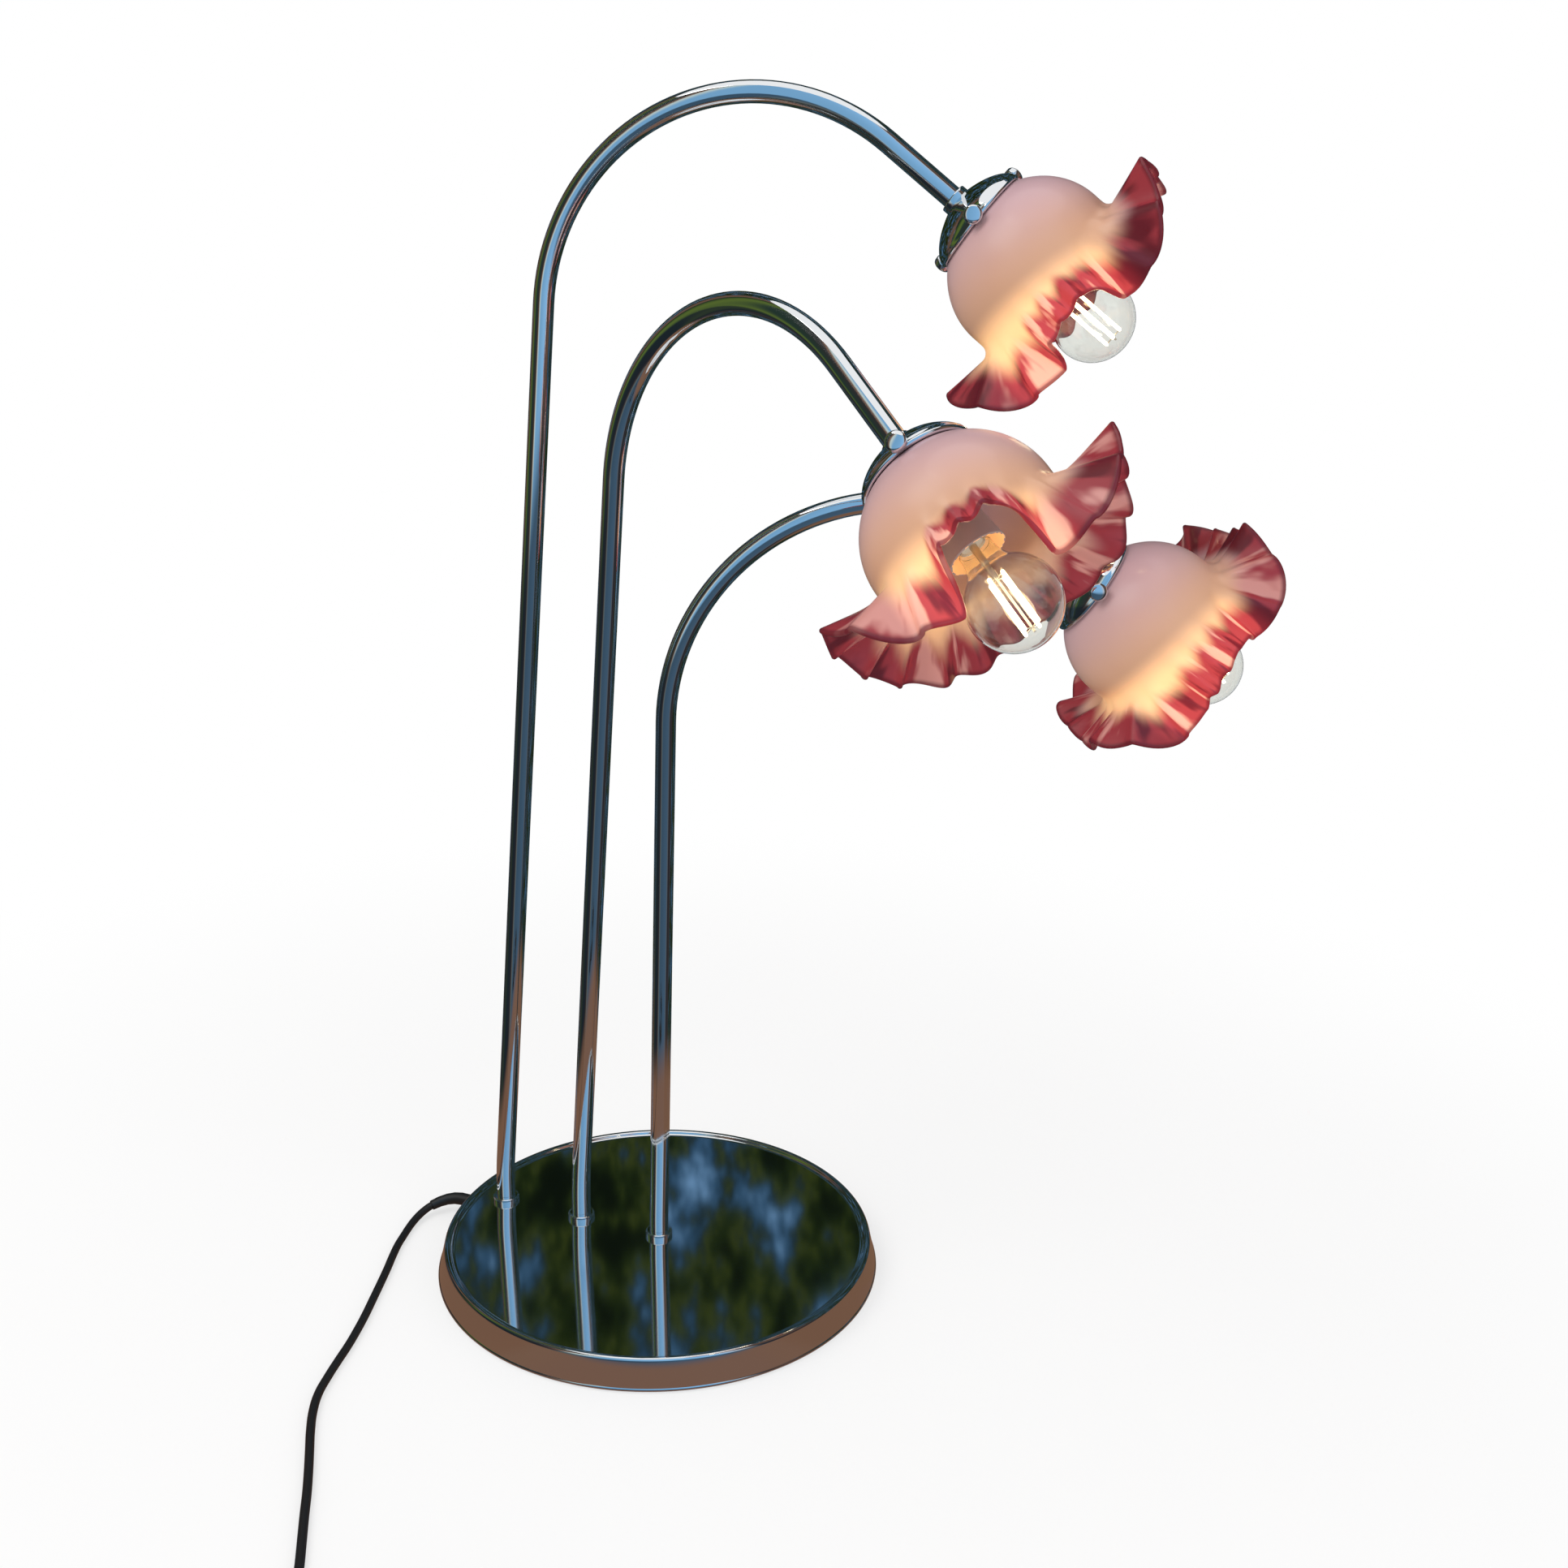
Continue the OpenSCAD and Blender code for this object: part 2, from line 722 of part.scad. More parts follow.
// Profile of the bulb's glass: a neck that runs smoothly into the ball
blend_point = [bulb_r * sin(bulb_blend), bulb_z + bulb_r * cos(bulb_blend)];
blend_run = (blend_point[0] - bulb_neck_r) / -cos(bulb_blend);
blend_knee = [bulb_neck_r, blend_point[1] - blend_run * sin(bulb_blend)];
neck_in_r = cap_r - 0.6;
function bulb_profile(inset) = concat(
    [[neck_in_r - inset, bulb_neck_z], [neck_in_r - inset, cap_top_z + 0.4],
        [bulb_neck_r - inset, cap_top_z + 1.8]],
    curve([bulb_neck_r - inset, cap_top_z + 3], blend_knee - [inset, 0],
        blend_point - inset * [sin(bulb_blend), cos(bulb_blend)], 8),
    arc([0, bulb_z], bulb_r - inset, bulb_blend - 90 - 2 * (bulb_blend - 90) - 4, 90, 22));
module bulb_glass(a) {
    color("white", 0.4)
        at_head(a)
            rotate_extrude()
                polygon(concat(bulb_profile(0), reversed(bulb_profile(bulb_t))));
}

// Glass stem, wires and glowing sticks
module bulb_filament(a) {
    stem_top = bulb_z - stick_len / 2;
    stick_top = stem_top + stick_len;
    color("orange")
        at_head(a) {
            translate([0, 0, bulb_neck_z + 0.5])
                cylinder(r = 2, h = stick_top + 1.5 - bulb_neck_z);
            for (i = [0:sticks - 1])
                rotate([0, 0, 360 * i / sticks]) {
                    translate([stick_ring_r, 0, stem_top])
                        cylinder(d = stick_d, h = stick_len);
                    for (z = [stem_top + 0.8, stick_top - 0.8])
                        translate([1, 0, z])
                            rotate([0, 90, 0])
                                cylinder(r = 0.5, h = stick_ring_r - 1);
                }
        }
}

module thumbscrew(a, i) {
    tip = neck_r + 0.15;
    color("silver")
        at_head(a)
            rotate([0, 0, 120 * i + thumb_start(a)])
                translate([0, 0, thumb_z])
                    rotate([0, 90, 0])
                        rotate_extrude()
                            polygon(concat([[0, tip], [thumb_r, tip], [thumb_r, knob_from],
                                [knob_d / 2 - 1, knob_from]],
                                arc([knob_d / 2 - 1, knob_from + 1], 1, -90, 0, 4),
                                arc([knob_d / 2 - 1.5, knob_from + knob_t - 1.5], 1.5, 0, 90, 5),
                                [[0, knob_from + knob_t]]));
}

// ---------- shade ----------

shade_steps = 80;
// What differs from shade to shade: [length in the notch, length of the petals, apron's turn]
TALL_LIP = [tall_notch_len, petal_len, apron_turn];
MIDDLE_LIP = [middle_notch_len, petal_len, apron_turn];
SHORT_LIP = [short_notch_len, short_petal_len, short_apron_turn];
// Lip length and turn at key angles from the notch: [angle, length, turn]
function lip_keys(cut) = let (notch = cut[0], petal = cut[1], out = cut[2]) [
    [0, notch, 6], [17, notch + 2, 4], [35, tongue_len, tongue_turn], [47, tongue_len + 1, 20],
    [60, petal + 4, petal_turn - 32], [74, petal, petal_turn], [90, petal - 1, petal_turn - 8],
    [105, petal + 1, (petal_turn + out) / 2], [122, apron_len, out + 16],
    [142, apron_len - 1, out + 6], [180, apron_len, out]];
// Smooth value between the keys
function keyed(keys, angle, column, i = 0) =
    angle >= keys[i + 1][0] && i < len(keys) - 2 ? keyed(keys, angle, column, i + 1) :
    let (t = (angle - keys[i][0]) / (keys[i + 1][0] - keys[i][0]), s = (1 - cos(180 * t)) / 2)
    keys[i][column] * (1 - s) + keys[i + 1][column] * s;
function from_notch(angle) = let (a = (angle + 720) % 360) a > 180 ? 360 - a : a;

// A point of the glass's outer face. down is -1 at the neck, 0 at the widest place and 1
// at the lip's edge. The body is an ellipse. The lip runs straight past the waist, bends
// over a fixed length and then runs straight again. Its crimps grow to the edge, crowd in
// four places and are shallower where the lip stands upright.
crimp_shift = 63;
body_from = globe_half * sqrt(1 - pow(neck_r / globe_r, 2));
function glass_point(angle, down, cut) =
    down <= 0
        ? let (w = down * body_from, r = globe_r * sqrt(1 - pow(w / globe_half, 2)))
            [r * cos(angle), r * sin(angle), globe_len + w]
        : let (a = from_notch(angle),
            keys = lip_keys(cut),
            lip = keyed(keys, a, 1) + edge_wave * sin(5 * angle + 50)
                + scallop * cos(crimps * angle + 30),
            turn = keyed(keys, a, 2) + 0.001,
            run = down * (waist_len + lip),
            bent = max(0, min(run - waist_len, bend_len)),
            flat = max(0, run - waist_len - bend_len),
            bow = bend_len * 180 / (turn * PI),
            at = turn * bent / bend_len,
            uneven = (0.8 + 0.3 * sin(3 * angle + 70)) * (0.5 + 0.5 * max(0, min(1, turn / 60))),
            crimp = crimp_depth * pow(down, 1.6) * uneven
                * sin(crimps * angle + crimp_shift * sin(4 * angle)),
            r = globe_r + bow * (1 - cos(at)) + flat * sin(turn) + crimp * cos(at),
            w = globe_len + min(run, waist_len) + bow * sin(at) + flat * cos(turn) - crimp * sin(at))
            [r * cos(angle), r * sin(angle), w];
function glass_normal(angle, down, cut) =
    unit(cross(glass_point(angle + 1, down, cut) - glass_point(angle - 1, down, cut),
        glass_point(angle, down + 0.02, cut) - glass_point(angle, down - 0.02, cut)));
SHADE_ROWS = [-1, -0.9, -0.72, -0.45, -0.1, 0.13, 0.25, 0.38, 0.68, 1];
function ring(r, z) =
    [for (i = [0:shade_steps - 1]) let (a = 360 * i / shade_steps) [r * cos(a), r * sin(a), z]];
function glass_rings(cut, inset) = concat(
    ring(neck_end_r - inset, -neck_depth),
    ring(neck_end_r - inset, neck_end_h - neck_depth),
    ring(neck_r - inset, neck_end_h + 0.2 - neck_depth),
    [for (down = SHADE_ROWS, i = [0:shade_steps - 1])
        let (a = 360 * i / shade_steps)
        glass_point(a, down, cut)
            - inset * (down < -0.8 ? [cos(a), sin(a), 0] : glass_normal(a, down, cut))]);
shade_rings = 3 + len(SHADE_ROWS);
function skin(start, out) =
    [for (j = [0:shade_rings - 2], i = [0:shade_steps - 1], half = [0, 1])
        let (a = start + j * shade_steps + i, b = start + j * shade_steps + (i + 1) % shade_steps,
            c = b + shade_steps, d = a + shade_steps)
        half == 0 ? (out ? [a, d, c] : [a, c, d]) : (out ? [a, c, b] : [a, b, c])];
function edge(row, start, out) =
    [for (i = [0:shade_steps - 1], half = [0, 1])
        let (k = (i + 1) % shade_steps, a = row * shade_steps + i, b = row * shade_steps + k,
            c = start + b, d = start + a)
        half == 0 ? (out ? [a, b, c] : [a, c, b]) : (out ? [a, c, d] : [a, d, c])];

module shade(a, turn, cut) {
    count = shade_rings * shade_steps;
    color("pink")
        at_head(a)
            rotate([0, 0, turn])
                translate([0, 0, gallery_h])
                    polyhedron(
                        points = concat(glass_rings(cut, 0), glass_rings(cut, glass_t)),
                        faces = concat(skin(0, true), skin(count, false), edge(0, count, true),
                            edge(shade_rings - 1, count, false)));
}

// ---------- cord, switch and plug ----------

// Sweeps a round section along points; the first and last section face as given
function path_dir(path, i, first, last) =
    i == 0 ? first : i == len(path) - 1 ? last : unit(path[i + 1] - path[i - 1]);
function side_of(dir) = unit(cross(dir, [0, 0, 1]));
module sweep(path, r, first, last, sides = 10) {
    points = [for (i = [0:len(path) - 1], k = [0:sides - 1])
        let (d = path_dir(path, i, first, last), s = side_of(d), u = cross(s, d),
            a = 360 * k / sides)
        path[i] + r * (cos(a) * s + sin(a) * u)];
    walls = [for (i = [0:len(path) - 2], k = [0:sides - 1], half = [0, 1])
        let (p = i * sides + k, q = i * sides + (k + 1) % sides)
        half == 0 ? [p, q, q + sides] : [p, q + sides, p + sides]];
    start_face = [[for (k = [sides - 1:-1:0]) k]];
    end_face = [[for (k = [0:sides - 1]) (len(path) - 1) * sides + k]];
    polyhedron(points = points, faces = concat(walls, start_face, end_face));
}

module supply_cord() {
    color("black")
        sweep(CORD, cord_r, [-1, 0, 0], [cos(switch_turn), sin(switch_turn), 0]);
}

module cord_coil() {
    color("black")
        translate([coil_at.x, coil_at.y, 0])
            rotate_extrude($fn = 96)
                translate([coil_inner_r, 0])
                    square([coil_r - coil_inner_r, coil_h]);
}

// Tie around the coil, on the side away from the switch
tie_angle = -60;
tie_w = 5;
tie_t = 0.8;
module cord_tie() {
    color("dimgray")
        translate([coil_at.x, coil_at.y, 0])
            rotate([0, 0, tie_angle])
                translate([(coil_r + coil_inner_r) / 2, 0, coil_h / 2])
                    difference() {
                        cube([coil_r - coil_inner_r + 2 * (tie_t + seat_gap), tie_w, coil_h], center = true);
                        cube([coil_r - coil_inner_r + 2 * seat_gap, tie_w + 2, coil_h + 2], center = true);
                    }
}

module at_switch() {
    translate([switch_at.x, switch_at.y, 0])
        rotate([0, 0, switch_turn])
            children();
}

// Corners of a rounded box lying on the table
module pillow(length, width, height, r) {
    hull()
        for (x = [r, length - r], y = [-1, 1], z = [r, height - r])
            translate([x, y * (width / 2 - r), z])
                sphere(r = r, $fn = 24);
}

rocker_at = switch_len / 2;
module switch_body() {
    color("black")
        at_switch()
            difference() {
                pillow(switch_len, switch_w, switch_h, 3);
                translate([rocker_at - rocker_len / 2 - seat_gap, -rocker_w / 2 - seat_gap, switch_h - 5])
                    cube([rocker_len + 2 * seat_gap, rocker_w + 2 * seat_gap, 5 + cut]);
            }
}

rocker_pivot_z = switch_h - 1;
module switch_rocker() {
    color("dimgray")
        at_switch()
            translate([rocker_at, 0, rocker_pivot_z])
                intersection() {
                    rotate([90, 0, 0])
                        cylinder(r = rocker_len / 2 + 0.2, h = rocker_w, center = true);
                    translate([-rocker_len / 2 + 0.6, -rocker_w / 2, -3])
                        cube([rocker_len - 1.2, rocker_w, 5]);
                }
}

module at_plug() {
    translate([plug_at.x, plug_at.y, 0])
        rotate([0, 0, switch_turn + 180])
            children();
}

// The cord from the switch to the coil, and from the coil to the plug
module cord_leads() {
    color("black") {
        at_switch()
            translate([switch_len, 0, switch_h / 2])
                rotate([0, 90, 0])
                    cylinder(r = cord_r, h = switch_lead_run - coil_lap);
        at_plug()
            translate([coil_lap - plug_lead_run, 0, plug_h / 2])
                rotate([0, 90, 0])
                    cylinder(r = cord_r, h = plug_lead_run - coil_lap);
    }
}

plug_relief = 16;
module plug_body() {
    color("black")
        at_plug() {
            translate([plug_relief - 3, 0, 0])
                pillow(plug_len - plug_relief + 3, plug_w, plug_h, 4);
            translate([0, 0, plug_h / 2])
                rotate([0, 90, 0])
                    cylinder(r1 = cord_r + 0.8, r2 = plug_h / 2 - 1, h = plug_relief);
        }
}

module plug_pins() {
    color("silver")
        at_plug()
            for (y = [-1, 1])
                translate([plug_len, y * pin_gap / 2, plug_h / 2])
                    rotate([0, 90, 0]) {
                        cylinder(d = pin_d, h = pin_len - pin_d / 2);
                        translate([0, 0, pin_len - pin_d / 2])
                            sphere(d = pin_d, $fn = 32);
                    }
}

// ---------- nodes ----------

base_shell();
base_weight();
bottom_cover();
felt_pad();
cover_screws();
terminal_block();
terminal_screws();
cord_gland();
inner_cord();
base_wires();
arm_tube(TALL);  // tall_tube
foot_nipple(TALL);  // tall_foot_nipple
foot_nuts(TALL);  // tall_foot_nuts
arm_lead(TALL);  // tall_lead
gallery(TALL);  // tall_gallery
head_nipple(TALL);  // tall_head_nipple
lampholder(TALL);  // tall_lampholder
shade(TALL, tall_shade_turn, TALL_LIP);  // tall_shade
bulb_glass(TALL);  // tall_bulb_glass
bulb_cap(TALL);  // tall_bulb_cap
bulb_filament(TALL);  // tall_bulb_filament
thumbscrew(TALL, 0);  // tall_thumbscrew_1
thumbscrew(TALL, 1);  // tall_thumbscrew_2
thumbscrew(TALL, 2);  // tall_thumbscrew_3
arm_tube(MIDDLE);  // middle_tube
foot_nipple(MIDDLE);  // middle_foot_nipple
foot_nuts(MIDDLE);  // middle_foot_nuts
arm_lead(MIDDLE);  // middle_lead
gallery(MIDDLE);  // middle_gallery
head_nipple(MIDDLE);  // middle_head_nipple
lampholder(MIDDLE);  // middle_lampholder
shade(MIDDLE, middle_shade_turn, MIDDLE_LIP);  // middle_shade
bulb_glass(MIDDLE);  // middle_bulb_glass
bulb_cap(MIDDLE);  // middle_bulb_cap
bulb_filament(MIDDLE);  // middle_bulb_filament
thumbscrew(MIDDLE, 0);  // middle_thumbscrew_1
thumbscrew(MIDDLE, 1);  // middle_thumbscrew_2
thumbscrew(MIDDLE, 2);  // middle_thumbscrew_3
arm_tube(SHORT);  // short_tube
foot_nipple(SHORT);  // short_foot_nipple
foot_nuts(SHORT);  // short_foot_nuts
arm_lead(SHORT);  // short_lead
gallery(SHORT);  // short_gallery
head_nipple(SHORT);  // short_head_nipple
lampholder(SHORT);  // short_lampholder
shade(SHORT, short_shade_turn, SHORT_LIP);  // short_shade
bulb_glass(SHORT);  // short_bulb_glass
bulb_cap(SHORT);  // short_bulb_cap
bulb_filament(SHORT);  // short_bulb_filament
thumbscrew(SHORT, 0);  // short_thumbscrew_1
thumbscrew(SHORT, 1);  // short_thumbscrew_2
thumbscrew(SHORT, 2);  // short_thumbscrew_3
supply_cord();
switch_body();
switch_rocker();
cord_leads();
cord_coil();
cord_tie();
plug_body();
plug_pins();
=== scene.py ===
"""Looks of a three-armed table lamp with ruffled glass shades, around its packed model.

Lengths are metres. The origin is on the table under the middle of the foot, and Z is up.
The three arms stand in a line along -X and turn about upright axes at their feet.
"""

import math

import bmesh
import bpy
import numpy as np
from mathutils import Matrix, Vector


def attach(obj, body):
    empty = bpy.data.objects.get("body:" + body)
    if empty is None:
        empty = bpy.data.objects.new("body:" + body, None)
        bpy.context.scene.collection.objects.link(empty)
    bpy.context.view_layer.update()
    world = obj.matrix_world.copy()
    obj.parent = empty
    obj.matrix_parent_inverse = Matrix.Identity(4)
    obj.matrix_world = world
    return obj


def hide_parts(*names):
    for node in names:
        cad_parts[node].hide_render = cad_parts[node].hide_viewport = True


bl_info = {
    "name": "Tulip Shade Table Lamp",
    "version": (1, 0, 0),
    "blender": (4, 5, 0),
    "location": "View3D > Sidebar > Lamp",
    "description": "Three-armed chrome lamp with ruffled glass shades",
    "category": "Object",
}

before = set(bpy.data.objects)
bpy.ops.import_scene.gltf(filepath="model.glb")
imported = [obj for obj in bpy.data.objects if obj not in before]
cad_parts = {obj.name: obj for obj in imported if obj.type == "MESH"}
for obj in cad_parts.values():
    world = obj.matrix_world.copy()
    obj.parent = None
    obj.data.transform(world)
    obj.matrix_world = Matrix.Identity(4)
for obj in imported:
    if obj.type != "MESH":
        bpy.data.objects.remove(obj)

ARMS = ("tall", "middle", "short")
FOOT_BODY = "foot"


# ---------- what a user may change ----------


def property_kind(make, measure=lambda value: value, **settings):
    """Function that makes one kind of property, with its default read by a measure."""
    return lambda name, description, default: make(
        name=name, description=description, default=measure(default), **settings)


FLOAT, VECTOR = bpy.props.FloatProperty, bpy.props.FloatVectorProperty
length = property_kind(FLOAT, subtype="DISTANCE", unit="LENGTH", precision=4)
angle = property_kind(FLOAT, math.radians, subtype="ANGLE", unit="ROTATION")
share = property_kind(FLOAT, min=0, max=1, subtype="FACTOR")
strength = property_kind(FLOAT, min=0)
focal_length = property_kind(FLOAT, subtype="DISTANCE_CAMERA", unit="CAMERA")
count = property_kind(bpy.props.IntProperty, min=0)
colour = property_kind(VECTOR, size=3, subtype="COLOR", min=0, max=1)
position = property_kind(VECTOR, subtype="TRANSLATION", unit="LENGTH")


class LampFootSizes(bpy.types.PropertyGroup):
    """Sizes of the round foot."""

    radius: length("Radius", "Outer radius at the rolled bottom lip", 0.140)
    height: length("Height", "Height of the raised rim's crest", 0.020)
    rim_rise: length("Rim rise", "How far the rim stands above the flat top", 0.0025)
    hollow_radius: length("Hollow", "Radius of the curve inside the rim", 0.003)
    crest_radius: length("Crest", "Radius of the rim's crest", 0.0025)
    wall_flare: length("Flare", "How much further out the lip reaches than the wall", 0.004)
    lip_radius: length("Lip", "Radius of the rolled bottom lip", 0.0014)
    lip_lift: length("Lip lift", "Height of the lip above the table", 0.0005)
    sheet: length("Sheet", "Thickness of the spun sheet", 0.001)


class LampTubeSizes(bpy.types.PropertyGroup):
    """Sizes that the three tubes share."""

    foot_gap: length("Foot gap", "Distance between neighbouring feet", 0.056)
    diameter: length("Diameter", "Outer diameter of the tubes", 0.012)
    wall: length("Wall", "Wall of the tubes", 0.001)
    collar_diameter: length("Collar", "Diameter of the collar at the foot", 0.017)
    collar_height: length("Collar height", "Height of that collar", 0.0035)
    collar_round: length("Collar round", "Radius of the collar's upper edge", 0.0012)
    rise: length("Rise", "Upright length before the tube leans", 0.012)
    lean_radius: length("Lean bend", "Radius of the slight bend that starts the lean", 0.260)


def arm_sizes(label, feet_from_centre, heading, lean, stem, bend, droop, end, turn, notch,
              petal=0.033, apron_turn=44):
    """PropertyGroup class with one arm's own sizes as its defaults."""
    rows = {
        "feet_from_centre": count("Foot", "How many foot gaps it stands from the centre",
                                  feet_from_centre),
        "heading": angle("Heading", "Direction it points in, seen from above", heading),
        "lean": angle("Lean", "Lean of its stem towards the shade", lean),
        "stem": length("Stem", "Straight length of its stem", stem),
        "bend": length("Bend", "Radius of its bend", bend),
        "droop": angle("Droop", "Direction of its end, counted from straight up", droop),
        "end": length("End", "Straight length after the bend", end),
        "shade_turn": angle("Shade turn", "Turn of the shade in its gallery", turn),
        "notch": length("Notch", "Lip left in the notch of its shade", notch),
        "petal": length("Petal", "Length of the two big petals of its shade", petal),
        "apron_turn": angle("Apron turn", "How far the lip opposite the notch turns out",
                            apron_turn),
    }
    return type(f"Lamp{label}Arm", (bpy.types.PropertyGroup,),
                {"__annotations__": rows, "__doc__": f"Sizes of the {label.lower()} arm."})


LampTallArm = arm_sizes("Tall", 2, 10, 4.2, 0.546, 0.120, 128, 0.047, 275, 0.022)
LampMiddleArm = arm_sizes("Middle", 1, -26.4, 5.6, 0.448, 0.108, 130, 0.054, 228, 0.008)
LampShortArm = arm_sizes("Short", 0, 18.5, 1, 0.325, 0.134, 124, 0.024, 256, 0.032,
                         petal=0.029, apron_turn=100)


class LampGallerySizes(bpy.types.PropertyGroup):
    """Sizes of the galleries that hold the shades, and of their thumbscrews."""

    height: length("Height", "From the tube's end to the gallery's open rim", 0.0175)
    diameter: length("Diameter", "Outer diameter of the skirt", 0.058)
    skirt: length("Skirt", "Height of the straight skirt", 0.0035)
    wall: length("Wall", "Thickness of the sheet", 0.0008)
    bead: length("Bead", "Radius of the rolled bead at the rim", 0.0014)
    hub_radius: length("Hub", "Radius of the hub on the tube", 0.008)
    hub_height: length("Hub height", "Length of the hub along the tube", 0.003)
    floor: length("Floor", "Height of the floor's inner face", 0.0015)
    screw_inset: length("Screw inset", "Distance of the screws from the rim", 0.0036)
    screw_radius: length("Screw", "Radius of the screws' threads", 0.0015)
    knob_radius: length("Knob", "Radius of the screws' knobs", 0.005)
    knob_thickness: length("Knob thickness", "Thickness of the knobs", 0.005)
    knob_stand: length("Knob stand", "Air between the bead and a knob", 0.0004)


class LampShadeSizes(bpy.types.PropertyGroup):
    """Sizes of the ruffled glass shades."""

    neck_radius: length("Neck", "Radius of the glass neck", 0.0235)
    neck_end_radius: length("Neck end", "Radius of the neck's thickened end", 0.0248)
    neck_depth: length("Neck depth", "Depth of the neck in the gallery", 0.0069)
    neck_end_height: length("Neck end height", "Height of the thickened end", 0.0016)
    globe_radius: length("Globe", "Radius at the widest place", 0.0475)
    globe_length: length("Globe length", "From the gallery's rim to the widest place", 0.036)
    globe_half: length("Globe half", "Half length of the ellipse of the body", 0.044)
    thickness: length("Thickness", "Thickness of the glass", 0.0026)
    waist: length("Waist", "Straight glass before the lip bends", 0.006)
    bend: length("Bend", "Length of the lip's bend", 0.009)
    petal_turn: angle("Petal turn", "How far the petals turn out", 96)
    tongue: length("Tongue", "Length of the tongues beside the notch", 0.042)
    tongue_turn: angle("Tongue turn", "How far the tongues turn out", -8)
    apron: length("Apron", "Length of the lip opposite the notch", 0.036)
    crimps: count("Crimps", "Number of crimps around the lip", 20)
    crimp_depth: length("Crimp depth", "Depth of the crimps at the edge", 0.0036)
    scallop: length("Scallop", "Waves of the lip's length from crimp to crimp", 0.0012)
    edge_wave: length("Edge wave", "Slow waves of the lip's length", 0.002)


class LampBulbSizes(bpy.types.PropertyGroup):
    """Sizes of the bulbs and of the lampholders around their caps."""

    ball: length("Ball", "Radius of the bulb's ball", 0.0225)
    ball_at: length("Ball place", "From the tube's end to the ball's middle", 0.0955)
    overall: length("Length", "Overall length of the bulb", 0.078)
    glass: length("Glass", "Thickness of the bulb's glass", 0.0008)
    neck: length("Neck", "Radius of the glass neck", 0.0085)
    cap_radius: length("Cap", "Radius of the screw cap", 0.007)
    cap_length: length("Cap length", "Length of the cap with its contact", 0.022)
    blend: angle("Blend", "Where the neck meets the ball, from the tip", 140)
    sticks: count("Sticks", "Number of glowing sticks", 4)
    stick_length: length("Stick length", "Length of the glowing sticks", 0.030)
    stick_radius: length("Stick", "Radius of the glowing sticks", 0.0009)
    stick_ring: length("Stick ring", "Radius of the ring of sticks", 0.005)
    holder_radius: length("Holder", "Radius of the lampholder's barrel", 0.0115)
    holder_mouth: length("Holder mouth", "Radius of the lampholder's mouth", 0.0145)
    holder_from: length("Holder base", "From the tube's end to the holder's base", 0.0045)
    holder_to: length("Holder end", "From the tube's end to the holder's mouth", 0.0665)
    holder_flare: length("Holder flare", "Length of the flared mouth", 0.022)


class LampCordSizes(bpy.types.PropertyGroup):
    """Sizes of the supply cord and its fittings."""

    diameter: length("Diameter", "Diameter of the cord", 0.005)
    to_switch: length("To switch", "Length from the foot to the switch", 0.428)
    to_plug: length("To plug", "Length from the switch to the plug", 1.312)
    switch_length: length("Switch", "Length of the in-line switch", 0.058)
    switch_lead: length("Switch lead", "Cord between the switch and the coil", 0.040)
    plug_lead: length("Plug lead", "Cord between the coil and the plug", 0.036)
    coil_radius: length("Coil", "Outer radius of the coil", 0.040)
    relief_length: length("Relief", "Length of the tapered bush outside the foot", 0.024)


class LampColours(bpy.types.PropertyGroup):
    """Colours and finishes."""

    chrome: colour("Chrome", "Chromed tubes, galleries and foot", (0.80, 0.82, 0.84))
    chrome_roughness: share("Chrome roughness", "Roughness of the chrome", 0.05)
    glass_body: colour("Glass body", "Satin glass of the body", (0.58, 0.37, 0.40))
    glass_lip: colour("Glass lip", "Wine tint of the lip", (0.32, 0.030, 0.042))
    # Painted light: the body's colour where the bulb would light the glass from inside
    glass_painted_bulb_light: colour("Glass warm", "Satin glass lit by the bulb", (0.70, 0.39, 0.24))
    glass_pale: colour("Glass pale", "Pale streaks in the lip", (0.62, 0.27, 0.24))
    glass_rim: colour("Glass rim", "Darkest streaks and line on the lip's edge", (0.13, 0.008, 0.017))
    # Painted light: emission of the shades that stands in for the bulb's light through the glass
    glow: colour("Glow", "Warm light in the glass near the bulb", (0.95, 1.0, 0.60))
    glow_strength: strength("Glow strength", "How strongly that light shows", 1.3)
    filament: colour("Filament", "Light of the glowing sticks", (1.0, 0.80, 0.45))
    filament_strength: strength("Filament strength", "How strongly the sticks shine", 14.0)
    holder: colour("Lampholder", "Plastic of the lampholders", (0.42, 0.33, 0.33))
    cord: colour("Cord", "Plastic of the cord, switch and plug", (0.012, 0.012, 0.013))
    floor: colour("Floor", "Floor around the lamp", (0.90, 0.90, 0.90))


class LampView(bpy.types.PropertyGroup):
    """Place and lens of the camera."""

    place: position("Place", "Where the camera stands", (0.4218, -0.8884, 0.6231))
    target: position("Target", "What the camera looks at", (0.0793, 0.0040, 0.3294))
    roll: angle("Roll", "How far the camera is tilted sideways", 0.97)
    focal: focal_length("Focal length", "For a sensor 36 mm wide", 39.79)


# ---------- surfaces ----------


def ring_faces(rings, columns, closed):
    """Quads between each ring of points and the next, and between the last ring and the
    first where the surface is closed on itself."""
    row = np.arange(rings if closed else rings - 1)[:, None]
    column = np.arange(columns)[None, :]
    after, beside = (row + 1) % rings, (column + 1) % columns
    corners = [row * columns + column, row * columns + beside,
               after * columns + beside, after * columns + column]
    return np.stack(np.broadcast_arrays(*corners), -1).reshape(-1, 4)


def arc(centre, radius, start, stop, steps):
    """Points centre + radius (cos a, sin a), with a running from start to stop in degrees."""
    a = np.radians(np.linspace(start, stop, steps + 1))
    return np.array(centre) + radius * np.stack([np.cos(a), np.sin(a)], -1)


def quadratic(start, knee, stop, steps):
    """Points (1-t)^2 start + 2t(1-t) knee + t^2 stop, with t running from 0 to 1."""
    t = np.linspace(0, 1, steps + 1)[:, None]
    return (1 - t) ** 2 * np.array(start) + 2 * t * (1 - t) * np.array(knee) + t * t * np.array(stop)


